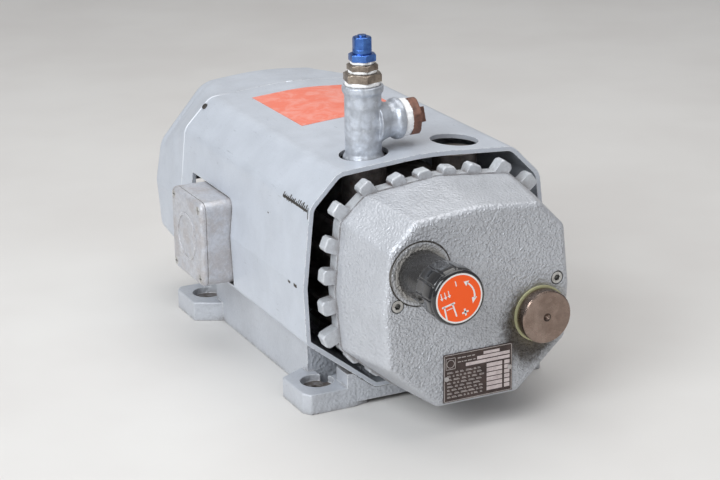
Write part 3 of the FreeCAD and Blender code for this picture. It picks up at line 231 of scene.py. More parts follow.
def painted(name, colour, metal=0.35, rough=0.42, grain=None, depth=0.00005, grain_dark=0.45, calm=None,
            chips=0.35, grime_and_shade=0.5, edge=0.0009, round_edge=0.0006, scuffed=0.35, extra=None):
    """Silver paint: mottled flakes, a fine peel or coarse grain with painted shade in its hollows, worn edges
    that are also lightened as a painted highlight, and dirt with painted shade in the corners.

    grain is the size of the casting's pebbles, and calm is the share of them left on sides that don't face
    front. chips, scuffed, grain_dark (painted shade in the grain's hollows) and the amount of dirt and
    painted shade in the corners are amounts from 0 to 1; edge and round_edge are widths."""
    m = Nodes(name)
    peel, tint = 0.0011, 0.03
    dark = tuple(c * (1 - tint * 2.2) for c in colour)
    light = tuple(min(1.0, c * (1 + tint)) for c in colour)
    base = m.mix(m.fit(m.noise(0.035, 4, 0.6), 0.3, 0.7), dark, light)
    flake = m.noise(0.0009, 2, 0.7)
    base = m.mix(m.fit(flake, 0.35, 0.75, 0.0, 0.22), base, tuple(min(1.0, c * 1.25) for c in colour))
    height = m.math("MULTIPLY", m.noise(peel, 2, 0.5), 0.35)
    if grain:
        pebbles = m.cells(grain, smooth=0.6, wobble=grain * 1.1, wobble_size=grain * 1.5)
        folds = m.noise(grain * 1.7, 1.0, 0.5, warp=1.0)
        relief = m.math("ADD", m.math("MULTIPLY", pebbles, -1.1), m.math("MULTIPLY", folds, 0.9))
        if calm is not None:
            forward = m.math("MULTIPLY", m.facing(1), -1.0)
            relief = m.math("MULTIPLY", relief, m.fit(forward, 0.80, 0.97, calm, 1.0))
        # Painted shade: the hollows of the grain are made darker in the colour itself.
        groove = m.fit(relief, -0.45, 0.15)
        base = m.mix(m.math("MULTIPLY", m.math("SUBTRACT", 1.0, groove), grain_dark), base,
                     tuple(c * 0.45 for c in colour))
        height = m.math("ADD", relief, m.math("MULTIPLY", height, 0.2))
    specks = m.noise(0.0035, 5, 0.75, seed=3.1)
    dirt_spots = m.math("MULTIPLY", m.fit(specks, 0.64, 0.72), 0.45)
    base = m.mix(dirt_spots, base, (0.12, 0.11, 0.10))
    scuffs = m.noise(0.002, 4, 0.7, stretch=(1, 0.12, 1), seed=9.0)
    patches = m.fit(m.noise(0.05, 3, 0.6, seed=7.0), 0.5, 0.62)
    scuff = m.math("MULTIPLY", m.fit(scuffs, 0.60, 0.70), patches)
    base = m.mix(m.math("MULTIPLY", scuff, scuffed), base, tuple(c * 0.55 for c in colour))
    # Near-white edges: worn paint, and also a painted highlight on the rounded edges.
    edge_noise = m.noise(0.006, 5, 0.7, seed=1.3)
    wear_and_highlight = m.math("MULTIPLY", m.edges(edge), m.fit(edge_noise, 0.62 - 0.3 * chips, 0.70 - 0.2 * chips))
    base = m.mix(m.math("MULTIPLY", wear_and_highlight, 0.9), base, (0.93, 0.94, 0.96))
    bare_spots = m.math("MULTIPLY", m.edges(edge * 1.6), m.fit(m.noise(0.0045, 4, 0.7, seed=2.4), 0.60, 0.66))
    base = m.mix(m.math("MULTIPLY", bare_spots, chips), base, (0.13, 0.11, 0.10))
    # Brown dirt and painted shade in corners and gaps, found by the ambient occlusion.
    corner = m.crevices(0.012)
    corner_patches = m.noise(0.012, 4, 0.65, seed=5.0)
    crevice_shade = m.math("MULTIPLY", m.fit(corner, 0.25, 0.8), m.fit(corner_patches, 0.25, 0.6))
    base = m.mix(m.math("MULTIPLY", crevice_shade, grime_and_shade), base, (0.13, 0.105, 0.085))
    if extra:
        base = extra(m, base)
    roughness = m.fit(m.noise(0.02, 4, 0.7, seed=8.0), 0.3, 0.7, rough - 0.07, rough + 0.09)
    m.set(Base_Color=base, Roughness=roughness, Metallic=metal, IOR=1.5,
          Normal=m.bump(height, depth, 1.0, m.rounded(round_edge)))
    return m.material


def bare(name, colour, dark, metal=1.0, rough=0.35, brush=(1, 1, 1), stain=0.3, round_edge=0.0003,
         stain_colour=(0.12, 0.08, 0.06), extra=None):
    """Bare metal: brushed or turned scratches, tarnish, brighter rubbed edges and painted shade in the
    corners.
    """
    m = Nodes(name)
    brush_size, depth = 0.0008, 0.00002
    lines = m.noise(brush_size, 3, 0.6, stretch=brush)
    clouds = m.noise(0.009, 5, 0.65, seed=2.2)
    base = m.mix(m.fit(clouds, 0.3, 0.72), dark, colour)
    base = m.mix(m.fit(lines, 0.3, 0.7, 0.0, 0.25), base, tuple(min(1.0, c * 1.2) for c in colour))
    spots = m.fit(m.noise(0.004, 5, 0.7, seed=6.4), 0.52, 0.72)
    base = m.mix(m.math("MULTIPLY", spots, stain), base, stain_colour)
    rubbed = m.math("MULTIPLY", m.edges(round_edge * 2), 0.45)
    base = m.mix(rubbed, base, tuple(min(1.0, c * 1.35) for c in colour))
    # Painted shade in corners and gaps, found by the ambient occlusion.
    crevice_shade = m.fit(m.crevices(0.006), 0.3, 0.9, 0.0, 0.5)
    base = m.mix(crevice_shade, base, tuple(c * 0.25 for c in dark))
    if extra:
        base = extra(m, base)
    roughness = m.fit(clouds, 0.25, 0.75, rough + 0.12, rough - 0.06)
    m.set(Base_Color=base, Roughness=roughness, Metallic=metal,
          Normal=m.bump(lines, depth, 0.6, m.rounded(round_edge)))
    return m.material


def plastic(name, colour, rough=0.3, grain=0.0006, depth=0.00001, dust=0.12, round_edge=0.0003, coat=0.0,
            extra=None):
    """Moulded plastic or rubber with a fine grain, scuffs, a little dust and painted shade in the corners."""
    m = Nodes(name)
    scuffs = m.noise(0.004, 6, 0.8, stretch=(1, 1, 3.0), seed=4.0)
    base = m.mix(m.fit(scuffs, 0.55, 0.8, 0.0, dust), colour, (0.35, 0.34, 0.33))
    # Painted shade in corners and gaps, found by the ambient occlusion.
    base = m.mix(m.fit(m.crevices(0.004), 0.3, 0.9, 0.0, 0.35), base, tuple(c * 0.4 for c in colour))
    if extra:
        base = extra(m, base)
    roughness = m.fit(m.noise(0.006, 4, 0.7), 0.3, 0.75, rough - 0.06, rough + 0.12)
    m.set(Base_Color=base, Roughness=roughness, IOR=1.5, Coat_Weight=coat,
          Normal=m.bump(m.noise(grain, 2, 0.5), depth, 0.5, m.rounded(round_edge)))
    return m.material


def coat_node(node, material):
    """Gives a CAD node one material in place of its own."""
    materials = nodes[node].data.materials
    materials.clear()
    materials.append(material)


# ---- stains, worn paint and some painted shade in chosen places ---------------------------
def cover_stains(m, base):
    """Oil left of and below the filter plug, and a dirty groove round the valve."""
    groove_radius = 0.02695
    leak = PLUG + Vector((-0.009, 0, -0.010))
    ragged = m.math("MULTIPLY", m.noise(0.007, 6, 0.75, seed=4.4), 0.024)
    oil = m.math("SUBTRACT", m.near(leak, (1, 0, 0.8)), ragged)
    base = m.mix(m.fit(oil, 0.006, 0.021, 0.97, 0.0), base, (0.055, 0.045, 0.036))
    rubbed = m.math("SUBTRACT", m.near(PLUG, (1, 0, 1)), m.math("MULTIPLY", ragged, 0.7))
    base = m.mix(m.fit(rubbed, 0.012, 0.024, 0.45, 0.0), base, (0.22, 0.19, 0.12))
    reach = m.near(KNOB, (1, 0, 1))
    off_groove = m.math("ABSOLUTE", m.math("SUBTRACT", reach, groove_radius))
    groove = m.fit(off_groove, 0.0003, 0.0011, 0.85, 0.0)
    base = m.mix(groove, base, (0.10, 0.085, 0.065))
    inside = m.fit(m.math("SUBTRACT", reach, m.math("MULTIPLY", ragged, 0.2)), 0.019, 0.025, 0.5, 0.0)
    return m.mix(inside, base, (0.24, 0.20, 0.13))


def dark_foot_bores(m, base):
    """Patchy dark brown on the lower insides of the counterbores of the four feet."""
    foot_x, foot_y, wall, dark_below = 0.093, 0.125, 0.0146, 0.0170
    apart = m.span(m.math("SUBTRACT", m.math("ABSOLUTE", m.axis(0)), foot_x),
                   m.math("SUBTRACT", m.math("ABSOLUTE", m.axis(1)), foot_y))
    inside = m.fit(apart, wall - 0.0011, wall, 1.0, 0.0)
    low = m.fit(m.axis(2), dark_below - 0.0030, dark_below, 1.0, 0.0)
    patchy = m.fit(m.noise(0.006, 5, 0.7), 0.2, 0.6, 0.45, 0.95)
    # Patchy dark brown low inside each counterbore.
    amount = m.math("MULTIPLY", m.math("MULTIPLY", inside, low), patchy)
    return m.mix(amount, base, (0.085, 0.062, 0.045))


def turned_rings(m, base):
    """Fine circles left by the lathe, a smoky brown film and a centre mark, on the filter plug."""
    rings_per_metre, dot_radius = 9500.0, 0.0031
    radius = m.near(PLUG, (1, 0, 1))
    marks = m.math("SINE", m.math("MULTIPLY", radius, rings_per_metre))
    uneven = m.math("MULTIPLY", m.math("ADD", marks, 1.0), m.noise(0.010, 3, 0.6, seed=1.1))
    base = m.mix(m.fit(uneven, 0.3, 1.2, 0.0, 0.30), base, (0.46, 0.41, 0.36))
    film = m.fit(m.noise(0.03, 3, 0.6, seed=3.7), 0.40, 0.65, 0.0, 0.35)
    base = m.mix(film, base, (0.16, 0.11, 0.085))
    off_dot = m.math("ABSOLUTE", m.math("SUBTRACT", radius, dot_radius))
    dot = m.fit(off_dot, 0.0002, 0.0006, 0.85, 0.0)
    return m.mix(dot, base, (0.05, 0.04, 0.035))


def rubbed_label(m, base):
    """The faded film, with pale rubbed smudges."""
    smudge = m.noise(0.022, 4, 0.65, warp=1.0, seed=2.0)
    base = m.mix(m.fit(smudge, 0.42, 0.68, 0.0, 0.45), base, (0.86, 0.46, 0.40))
    streak = m.noise(0.006, 5, 0.7, stretch=(0.5, 1.0, 1.0), seed=5.5)
    return m.mix(m.fit(streak, 0.55, 0.75, 0.0, 0.35), base, (0.84, 0.62, 0.58))


def sanded(m, base):
    """Thin paint rubbed through to brownish bare metal, with fine scratches."""
    worn = m.fit(m.noise(0.022, 5, 0.7, seed=6.0), 0.40, 0.62, 0.0, 0.65)
    base = m.mix(worn, base, (0.42, 0.385, 0.375))
    lines = m.noise(0.0011, 3, 0.7, stretch=(1, 0.15, 1), seed=1.9)
    return m.mix(m.fit(lines, 0.5, 0.72, 0.0, 0.4), base, (0.75, 0.74, 0.73))


def zinc_blooms(m, base):
    """Large spangles and dull grey blotches of old zinc."""
    patches = m.cells(0.009, feature="F1", wobble=0.006, wobble_size=0.008)
    base = m.mix(m.fit(patches, 0.25, 0.7, 0.0, 0.45), base, (0.27, 0.28, 0.30))
    return m.mix(m.fit(m.noise(0.007, 5, 0.75, seed=8.8), 0.55, 0.68, 0.0, 0.55), base, (0.70, 0.73, 0.77))


def teeth_dust_and_shade(m, base):
    """Brown dust between the cooling teeth, and painted shade there found by the ambient occlusion."""
    # Brown dust and painted shade where the teeth crowd together.
    dust = m.math("MULTIPLY", m.fit(m.crevices(0.02), 0.2, 0.7), m.fit(m.noise(0.008, 5, 0.7), 0.35, 0.6))
    return m.mix(m.math("MULTIPLY", dust, 0.8), base, (0.10, 0.055, 0.04))


# ---- materials ----------------------------------------------------------------------------
silver_cowl = painted("silver_cowl", (0.56, 0.595, 0.655), metal=0.22, rough=0.38, grime_and_shade=0.6, depth=0.00006,
                      chips=0.8, edge=0.0014, scuffed=0.6)
silver_casting = painted("silver_casting", (0.56, 0.58, 0.62), metal=0.25, rough=0.40, grain=0.0030,
                         depth=0.00060, grain_dark=0.14, calm=0.35, chips=0.9, grime_and_shade=0.9, edge=0.0016,
                         round_edge=0.0010, extra=dark_foot_bores)
toothed_casting = painted("toothed_casting", (0.58, 0.60, 0.63), metal=0.25, rough=0.42, grain=0.0030,
                          depth=0.0003, grain_dark=0.15, chips=0.4, grime_and_shade=1.0, edge=0.0012, extra=teeth_dust_and_shade)
hammer_silver = painted("hammer_silver", (0.545, 0.56, 0.595), metal=0.30, rough=0.36, grain=0.0021,
                        depth=0.0012, grain_dark=0.14, calm=0.5, chips=0.35, grime_and_shade=0.5, edge=0.0012,
                        round_edge=0.0012, extra=cover_stains)
box_casting = painted("box_casting", (0.54, 0.55, 0.59), metal=0.35, rough=0.40, grain=0.0026,
                      depth=0.0002, grain_dark=0.22, chips=0.8, grime_and_shade=0.9, edge=0.0014, extra=sanded)
bare_aluminium = bare("bare_aluminium", (0.62, 0.60, 0.60), (0.40, 0.37, 0.36), rough=0.38, stain=0.2)
cast_iron = bare("cast_iron", (0.24, 0.22, 0.21), (0.10, 0.085, 0.08), metal=0.8, rough=0.5, stain=0.5,
                 stain_colour=(0.20, 0.07, 0.04))
ground_steel = bare("ground_steel", (0.60, 0.60, 0.61), (0.42, 0.42, 0.42), rough=0.25, brush=(1, 12, 1))
zinc_steel = bare("zinc_steel", (0.70, 0.70, 0.69), (0.46, 0.45, 0.43), rough=0.28)
dark_steel = bare("dark_steel", (0.50, 0.50, 0.50), (0.25, 0.24, 0.23), rough=0.3)
plug_steel = bare("plug_steel", (0.34, 0.255, 0.215), (0.24, 0.175, 0.145), rough=0.25, stain=0.1,
                  extra=turned_rings)
screw_steel = bare("screw_steel", (0.60, 0.60, 0.59), (0.40, 0.39, 0.37), rough=0.24, stain=0.5)
dark_screw = bare("dark_screw", (0.12, 0.11, 0.10), (0.05, 0.045, 0.04), metal=0.7, rough=0.45)
copper = bare("copper", (0.70, 0.33, 0.18), (0.45, 0.18, 0.09), rough=0.3)
brass = bare("brass", (0.78, 0.60, 0.30), (0.50, 0.36, 0.16), rough=0.3)
bronze = bare("bronze", (0.40, 0.34, 0.28), (0.15, 0.12, 0.10), rough=0.32, stain=0.5, round_edge=0.0005)
blue_anodised = bare("blue_anodised", (0.10, 0.23, 0.60), (0.05, 0.12, 0.38), rough=0.28, stain=0.10,
                     round_edge=0.0006)
carbon = plastic("carbon", (0.05, 0.05, 0.055), rough=0.55)
seal_rubber = plastic("seal_rubber", (0.03, 0.03, 0.03), rough=0.6)
gasket = plastic("gasket", (0.52, 0.51, 0.30), rough=0.5)
black_plastic = plastic("black_plastic", (0.009, 0.009, 0.010), rough=0.14, dust=0.02,
                        round_edge=0.0005, coat=0.7)
skirt_grey = plastic("skirt_grey", (0.024, 0.023, 0.023), rough=0.24, dust=0.05, round_edge=0.0008)
filter_paper = plastic("filter_paper", (0.78, 0.70, 0.54), rough=0.8, grain=0.0003, depth=0.00005)
label_red = plastic("label_red", (0.80, 0.20, 0.13), rough=0.45, extra=rubbed_label)
label_orange = plastic("label_orange", (1.0, 0.11, 0.005), rough=0.5, dust=0.0)
label_white = plastic("label_white", (0.88, 0.86, 0.84), rough=0.35)
nameplate_dark = bare("nameplate_dark", (0.085, 0.060, 0.055), (0.045, 0.032, 0.030), metal=0.5, rough=0.38)
nameplate_bare = bare("nameplate_bare", (0.74, 0.66, 0.66), (0.58, 0.50, 0.50), metal=0.7, rough=0.38,
                      brush=(0.2, 1, 1), stain=0.25)
nameplate_print = bare("nameplate_print", (0.55, 0.50, 0.48), (0.40, 0.36, 0.35), metal=0.5, rough=0.45)
galvanised = painted("galvanised_iron", (0.60, 0.64, 0.71), metal=0.5, rough=0.42, grain=0.0042,
                     depth=0.00035, grain_dark=0.3, chips=0.3, grime_and_shade=0.9, extra=zinc_blooms)
seal_tape = plastic("seal_tape", (0.93, 0.93, 0.93), rough=0.55, grain=0.0009, depth=0.00025, dust=0.3)
brown_iron = bare("brown_iron", (0.24, 0.11, 0.075), (0.09, 0.045, 0.035), metal=0.35, rough=0.42, stain=0.5,
                  round_edge=0.0008)
# Lighter than the cowl's paint: a painted highlight along the lip between cowl and dome.
ridge_highlight_paint = painted("ridge_highlight_paint", (0.70, 0.73, 0.78), metal=0.1, rough=0.45, grime_and_shade=0.7, chips=0.3)
scratch_dark = plastic("scratch_dark", (0.05, 0.045, 0.04), rough=0.7)
chip_bare = bare("chip_bare", (0.10, 0.085, 0.075), (0.05, 0.042, 0.037), metal=0.4, rough=0.6)

BY_SLOT = {
    "silver_cowl": silver_cowl, "silver_casting": silver_casting, "hammer_silver": hammer_silver,
    "bare_aluminium": bare_aluminium, "cast_iron": cast_iron, "ground_steel": ground_steel,
    "zinc_steel": zinc_steel, "dark_steel": dark_steel, "plug_steel": plug_steel, "copper": copper,
    "brass": brass, "bronze": bronze, "carbon": carbon, "seal_rubber": seal_rubber, "gasket": gasket,
    "black_plastic": black_plastic, "filter_paper": filter_paper, "label_red": label_red,
    "label_orange": label_orange, "nameplate": nameplate_dark, "galvanised_iron": galvanised,
    "blue_anodised": blue_anodised, "seal_tape": seal_tape, "brown_iron": brown_iron,
}
BY_NODE = {
    "end_plate": toothed_casting, "terminal_box": box_casting, "terminal_box_lid": box_casting,
    "cover_gasket": toothed_casting, "cover_screws": screw_steel, "valve_body": skirt_grey,
    "casing_screws": dark_screw, "lid_gasket": box_casting,
}
for part in frame["record"]["subparts"]:
    name = part["node"]
    coat_node(name, BY_NODE.get(name, BY_SLOT[part["material_slot"]]))


# ---- pieces made here ---------------------------------------------------------------------
def piece(name, points, faces, material, body, smooth=False):
    """A new mesh in the part's frame that moves with one body, or with none yet."""
    mesh = bpy.data.meshes.new(name)
    mesh.from_pydata([tuple(p) for p in points], [], faces)
    mesh.materials.append(material)
    for face in mesh.polygons:
        face.use_smooth = smooth
    mesh.update()
    obj = bpy.data.objects.new(name, mesh)
    bpy.context.scene.collection.objects.link(obj)
    if body:
        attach(obj, body)
    return obj


def plates(shapes, front, thickness):
    """Flat plates facing -Y, as (points, faces): each shape is a closed list of (x, z) points."""
    points, faces = [], []
    for shape in shapes:
        area = sum(a[0] * b[1] - b[0] * a[1] for a, b in zip(shape, shape[1:] + shape[:1]))
        ordered = shape if area > 0 else shape[::-1]
        start, count = len(points), len(ordered)
        points += [(x, front, z) for x, z in ordered] + [(x, front + thickness, z) for x, z in ordered]
        faces.append(tuple(range(start, start + count)))
        faces.append(tuple(range(start + 2 * count - 1, start + count - 1, -1)))
        for i in range(count):
            j = (i + 1) % count
            faces.append((start + j, start + i, start + count + i, start + count + j))
    return points, faces


def stroke(path, width, end_width=None):
    """A ribbon along a path of (x, z) points, as one closed shape."""
    end_width = width if end_width is None else end_width
    left, right = [], []
    for i, (x, z) in enumerate(path):
        ax, az = path[max(i - 1, 0)]
        bx, bz = path[min(i + 1, len(path) - 1)]
        length = math.hypot(bx - ax, bz - az)
        half = (width + (end_width - width) * i / (len(path) - 1)) / 2
        nx, nz = -(bz - az) / length * half, (bx - ax) / length * half
        left.append((x + nx, z + nz))
        right.append((x - nx, z - nz))
    return left + right[::-1]


def arrow(tail, tip, width, head):
    """An arrow as a shaft and a triangle."""
    dx, dz = tip[0] - tail[0], tip[1] - tail[1]
    length = math.hypot(dx, dz)
    ux, uz = dx / length, dz / length
    neck = (tip[0] - ux * head, tip[1] - uz * head)
    wing = head * 0.62
    return [stroke([tail, neck], width),
            [tip, (neck[0] - uz * wing, neck[1] + ux * wing), (neck[0] + uz * wing, neck[1] - ux * wing)]]


def box_shape(x0, z0, x1, z1):
    """A rectangle between two corners."""
    return [(x0, z0), (x1, z0), (x1, z1), (x0, z1)]


def arc(radius, start, end, steps=24):
    """Points on an arc; angles in degrees from the +X side, upwards."""
    turn = [math.radians(start + (end - start) * i / steps) for i in range(steps + 1)]
    return [(radius * math.cos(t), radius * math.sin(t)) for t in turn]


def disc_shape(radius):
    """A circle as one closed shape."""
    return arc(radius, 0, 360, 96)[:-1]


def placed(shapes, centre):
    """Shapes drawn in millimetres round a point, moved there in metres."""
    return [[(centre.x + x * MM, centre.z + z * MM) for x, z in shape] for shape in shapes]


def ring_faces(rows, around, closed=False):
    """Faces between rows of points that each go round, and from the last row to the first if closed."""
    faces = []
    for i in range(rows if closed else rows - 1):
        j = (i + 1) % rows
        for k in range(around):
            n = (k + 1) % around
            faces.append((i * around + k, i * around + n, j * around + n, j * around + k))
    return faces


def loop_mesh(rows):
    """A closed band from rows of points, each row a ring, joined row to row and last to first."""
    points = [point for row in rows for point in row]
    return points, ring_faces(len(rows), len(rows[0]), closed=True)


def gather(parts):
    """Several (points, faces) pairs as one."""
    points, faces = [], []
    for more_points, more_faces in parts:
        start = len(points)
        points += more_points
        faces += [tuple(start + k for k in face) for face in more_faces]
    return points, faces


def fluted_knob():
    """The glossy knob: twelve flats with narrow grooves between them, behind a round rim."""
    low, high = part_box("knob")
    edge = (high.x - low.x) / 2
    length = high.y - low.y
    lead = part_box("knob_label")[1].x - KNOB.x + 0.00005
    centre_line, front_wall, bore = 0.00002, 0.0062, 0.0204
    # Depth behind the front, radius, and how much of the flats and of the grooves shows there.
    section = [
        (0.00045, centre_line, 0, 0), (0.00045, lead, 0, 0), (0.0001, lead + 0.0001, 0, 0),
        (0.0, lead + 0.0005, 0, 0), (0.0003, edge - 0.0021, 0, 0), (0.0010, edge - 0.0013, 0, 0),
        (0.0021, edge - 0.0009, 0, 0), (0.0032, edge - 0.0010, 0, 0), (0.0039, edge - 0.0015, 0, 0),
        (0.0044, edge - 0.0016, 0.3, 0.2), (0.0052, edge - 0.0006, 1, 1), (0.0062, edge - 0.0001, 1, 1),
        (0.0080, edge, 1, 1), (0.0180, edge, 1, 1), (0.0186, edge - 0.0002, 1, 1),
        (0.0194, edge - 0.0012, 1, 0.9), (0.0200, edge - 0.0014, 1, 0.8),
        (length - 0.0040, edge - 0.0014, 1, 0.8), (length - 0.0018, edge - 0.0018, 1, 0.6),
        (length - 0.0006, edge - 0.0026, 0.6, 0.3), (length, edge - 0.0034, 0, 0),
        (length, bore + 0.0002, 0, 0), (front_wall, bore, 0, 0), (front_wall, centre_line, 0, 0),
    ]
    sector = math.radians(30)
    groove_depth, groove_half_angle = 0.0011, 0.030
    around = 480
    rows = []
    for depth, radius, flat, groove in section:
        row = []
        for k in range(around):
            angle = 2 * math.pi * k / around
            off = (angle % sector) - sector / 2
            even = math.cos(sector / 2) / math.cos(off)
            dip = groove_depth * math.exp(-((sector / 2 - abs(off)) / groove_half_angle) ** 2)
            reach = radius * (1 + flat * (even - 1)) - groove * dip
            row.append((KNOB.x + reach * math.sin(angle), low.y + depth, KNOB.z + reach * math.cos(angle)))
        rows.append(row)
    points, faces = loop_mesh(rows)
    knob = piece("knob_fluted", points, faces, black_plastic, "valve_knob", smooth=True)
    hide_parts("knob")


def knob_signs():
    """The orange disc in its white ring, with plain signs, all drawn in millimetres."""
    low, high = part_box("knob_label")
    radius = (high.x - low.x) / 2 / MM
    front = low.y + 0.00012
    film = 0.00004
    centre = middle("knob_label")
    points, faces = plates(placed([disc_shape(radius - 0.05)], centre), front, 0.0003)
    ring = piece("label_ring", points, faces, label_white, "valve_knob")
    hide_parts("knob_label")
    points, faces = plates(placed([disc_shape(radius - 1.4)], centre), front - film, 0.00005)
    piece("label_disc", points, faces, label_orange, "valve_knob")
    tick = [stroke([(0.0, 15.0), (0.0, 10.6)], 0.9)]
    load = [shape for x in (-14.2, -10.9, -7.6) for shape in arrow((x, 9.9), (x, 3.6), 0.75, 2.3)]
    bench = [box_shape(-16.0, -2.6, -4.4, -1.1), stroke([(-13.9, -1.8), (-14.2, -12.8)], 1.3),
             stroke([(-6.6, -1.8), (-5.6, -13.4)], 1.3), stroke([(-12.6, -5.2), (-7.4, -5.2)], 0.7)]
    turning = [stroke(arc(13.4, 46, -20), 1.1, 1.5), [(6.7, 11.8), (11.6, 10.9), (8.0, 7.4)],
               [(10.0, -8.6), (10.4, -3.6), (14.9, -4.6)]]
    plus = [box_shape(-0.7, -13.7, 5.1, -12.2), box_shape(1.45, -15.9, 2.95, -10.0)]
    tilt = math.radians(14)
    tilted = [[(x * math.cos(tilt) - z * math.sin(tilt), x * math.sin(tilt) + z * math.cos(tilt))
               for x, z in shape] for shape in tick + load + bench + turning + plus]
    points, faces = plates(placed(tilted, centre), front - 2 * film, 0.00006)
    piece("label_signs", points, faces, label_white, "valve_knob")


def frame_shapes(x0, z0, x1, z1, rule):
    """Four thin bars round a rectangle."""
    return [box_shape(x0, z0, x1, z0 + rule), box_shape(x0, z1 - rule, x1, z1),
            box_shape(x0, z0, x0 + rule, z1), box_shape(x1 - rule, z0, x1, z1)]


def dashes(start, end, lengths, gaps):
    """A row of random dashes, as (where it starts, its length)."""
    row = []
    while start < end:
        length = rng.uniform(*lengths)
        row.append((start, length))
        start += length + rng.uniform(*gaps)
    return row


def nameplate_fields():
    """Blank fields, a frame and thin unreadable rules on the dark plate, drawn in millimetres."""
    low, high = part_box("nameplate")
    front = low.y - 0.00005
    print_depth = 0.00008
    wide, tall = (high.x - low.x) / MM, (high.z - low.z) / MM
    corner = Vector((low.x, 0, low.z))
    border = frame_shapes(0.5, 0.5, wide - 0.5, tall - 0.5, 0.55)
    circle = [(x * 3.4 + 6.5, z * 3.4 + 33.5) for x, z in arc(1, 0, 360, 20)]
    blank_mark = [stroke(circle, 0.5)] + frame_shapes(2.0, 28.6, 11.0, 38.7, 0.5)
    points, faces = plates(placed(border + blank_mark, corner), front, print_depth)
    piece("nameplate_border", points, faces, nameplate_print, "pump")
    fields_end = 61.5
    fields = [box_shape(37.0, 36.6, 52.0, 39.0), box_shape(31.0, 33.0, fields_end, 35.8),
              box_shape(20.5, 29.2, fields_end, 32.0)]
    for row in range(6):
        z = 4.0 + row * 4.1
        fields.append(box_shape(40.0, z, 54.5, z + 3.3))
        fields.append(box_shape(56.5, z, fields_end, z + 3.3))
    points, faces = plates(placed(fields, corner), front, print_depth)
    piece("nameplate_fields", points, faces, nameplate_bare, "pump")
    rules = []
    for row in range(8):
        z = 3.8 + row * 3.05
        for x, length in dashes(3.2, 34.0, (1.6, 6.5), (0.8, 2.2)):
            rules.append(box_shape(x, z, min(x + length, 37.5), z + 0.55))
            rules.append(box_shape(x, z + 0.95, min(x + length * 0.8, 37.5), z + 1.35))
    for z in (33.6, 37.2):
        for x, length in dashes(13.0, 28.0, (1.5, 4.0), (0.6, 1.2)):
            rules.append(box_shape(x, z, min(x + length, 29.5), z + 0.8))
    points, faces = plates(placed(rules, corner), front, 0.00007)
    piece("nameplate_rules", points, faces, nameplate_print, "pump")


def tape_wrap(name, centre, axis, inner, outer, length, seed):
    """Sealing tape pressed out of a screwed joint: a lumpy ring with ragged edges.

    u runs along the joint and v outwards round the ring's section, each from -1 to 1."""
    side = Vector((0, 1, 0))
    other = axis.cross(side)
    steps, section_points, squareness = 168, 16, 0.55
    rows = []
    for i in range(steps):
        angle = 2 * math.pi * i / steps
        out = side * math.cos(angle) + other * math.sin(angle)
        lump = noise.noise(out * 2.2 + Vector((seed, 0, 0)))
        fine = noise.noise(out * 11.0 + Vector((0, seed, 0)))
        row = []
        for k in range(section_points):
            t = 2 * math.pi * k / section_points
            u = math.copysign(abs(math.cos(t)) ** squareness, math.cos(t))
            v = math.copysign(abs(math.sin(t)) ** squareness, math.sin(t))
            fold = noise.noise(Vector((u * 1.4, v * 1.4, seed)) + out * 4.0)
            layer = 0.00022 * math.sin(u * 9.0 + lump * 6.0)
            radius = (inner + outer) / 2 + (outer - inner) / 2 * v
            if v > 0:
                radius += layer + 0.0005 * lump + 0.00035 * fine + 0.0003 * fold
            along = length / 2 * u * (1 + 0.16 * lump + 0.10 * fine)
            row.append(centre + out * radius + axis * along)
        rows.append(row)
    points, faces = loop_mesh(rows)
    return piece(name, points, faces, seal_tape, "pump", smooth=True)


def sealing_tapes():
    """One wrap at each of the four screwed joints on the tee."""
    up, right = Vector((0, 0, 1)), Vector((1, 0, 0))
    column = middle("hex_bush")
    # The piece below each joint on the column, the tape's radius and the gap that it fills.
    joints = (("tee", 0.0150, 0.0035), ("hex_bush", 0.0120, 0.0025), ("small_bush", 0.0103, 0.0025))
    for number, (below, radius, gap) in enumerate(joints):
        centre = Vector((column.x, column.y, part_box(below)[1].z + gap / 2))
        name = "tape_%d" % number
        tape_wrap(name, centre, up, radius - 0.004, radius, gap * 1.12, 3.0 + number)
    gap = 0.0070
    centre = Vector((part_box("tee")[1].x + gap / 2 - 0.0002, column.y, middle("side_plug").z))
    tape_wrap("tape_side", centre, right, 0.0118, 0.0160, gap * 1.15, 9.0)
    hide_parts("seal_tapes")


def open_port_thread():
    """The thread in the open port, which mirrors the inlet, under the right-hand hole in the cowl."""
    inlet = middle("inlet_nipple")
    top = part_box("pump_cylinder")[1].z - 0.0002
    crest, depth, pitch, turns = 0.01205, 0.0009, 0.00181, 8
    around, levels = 72, 8
    points = []
    for level in range(turns * levels + 1):
        for k in range(around):
            angle = 2 * math.pi * k / around
            phase = (level / levels + k / around) % 1.0
            radius = crest - depth * (1 - abs(2 * phase - 1))
            points.append((-inlet.x + radius * math.cos(angle), inlet.y + radius * math.sin(angle),
                           top - pitch * level / levels))
    faces = ring_faces(turns * levels + 1, around)
    piece("port_thread", points, faces, dark_steel, "pump", smooth=True)


def wire_mesh(path, radius):
    """A closed round wire along a path that winds round the valve's axis."""
    sides = 12
    points = []
    for i, p in enumerate(path):
        ahead = (path[min(i + 1, len(path) - 1)] - path[max(i - 1, 0)]).normalized()
        out = Vector((p.x - KNOB.x, 0, p.z - KNOB.z)).normalized()
        out = (out - ahead * out.dot(ahead)).normalized()
        side = ahead.cross(out)
        for k in range(sides):
            angle = 2 * math.pi * k / sides
            points.append(p + out * radius * math.cos(angle) + side * radius * math.sin(angle))
    faces = ring_faces(len(path), sides)
    last = (len(path) - 1) * sides
    faces.append(tuple(range(sides - 1, -1, -1)))
    faces.append(tuple(last + k for k in range(sides)))
    return points, faces


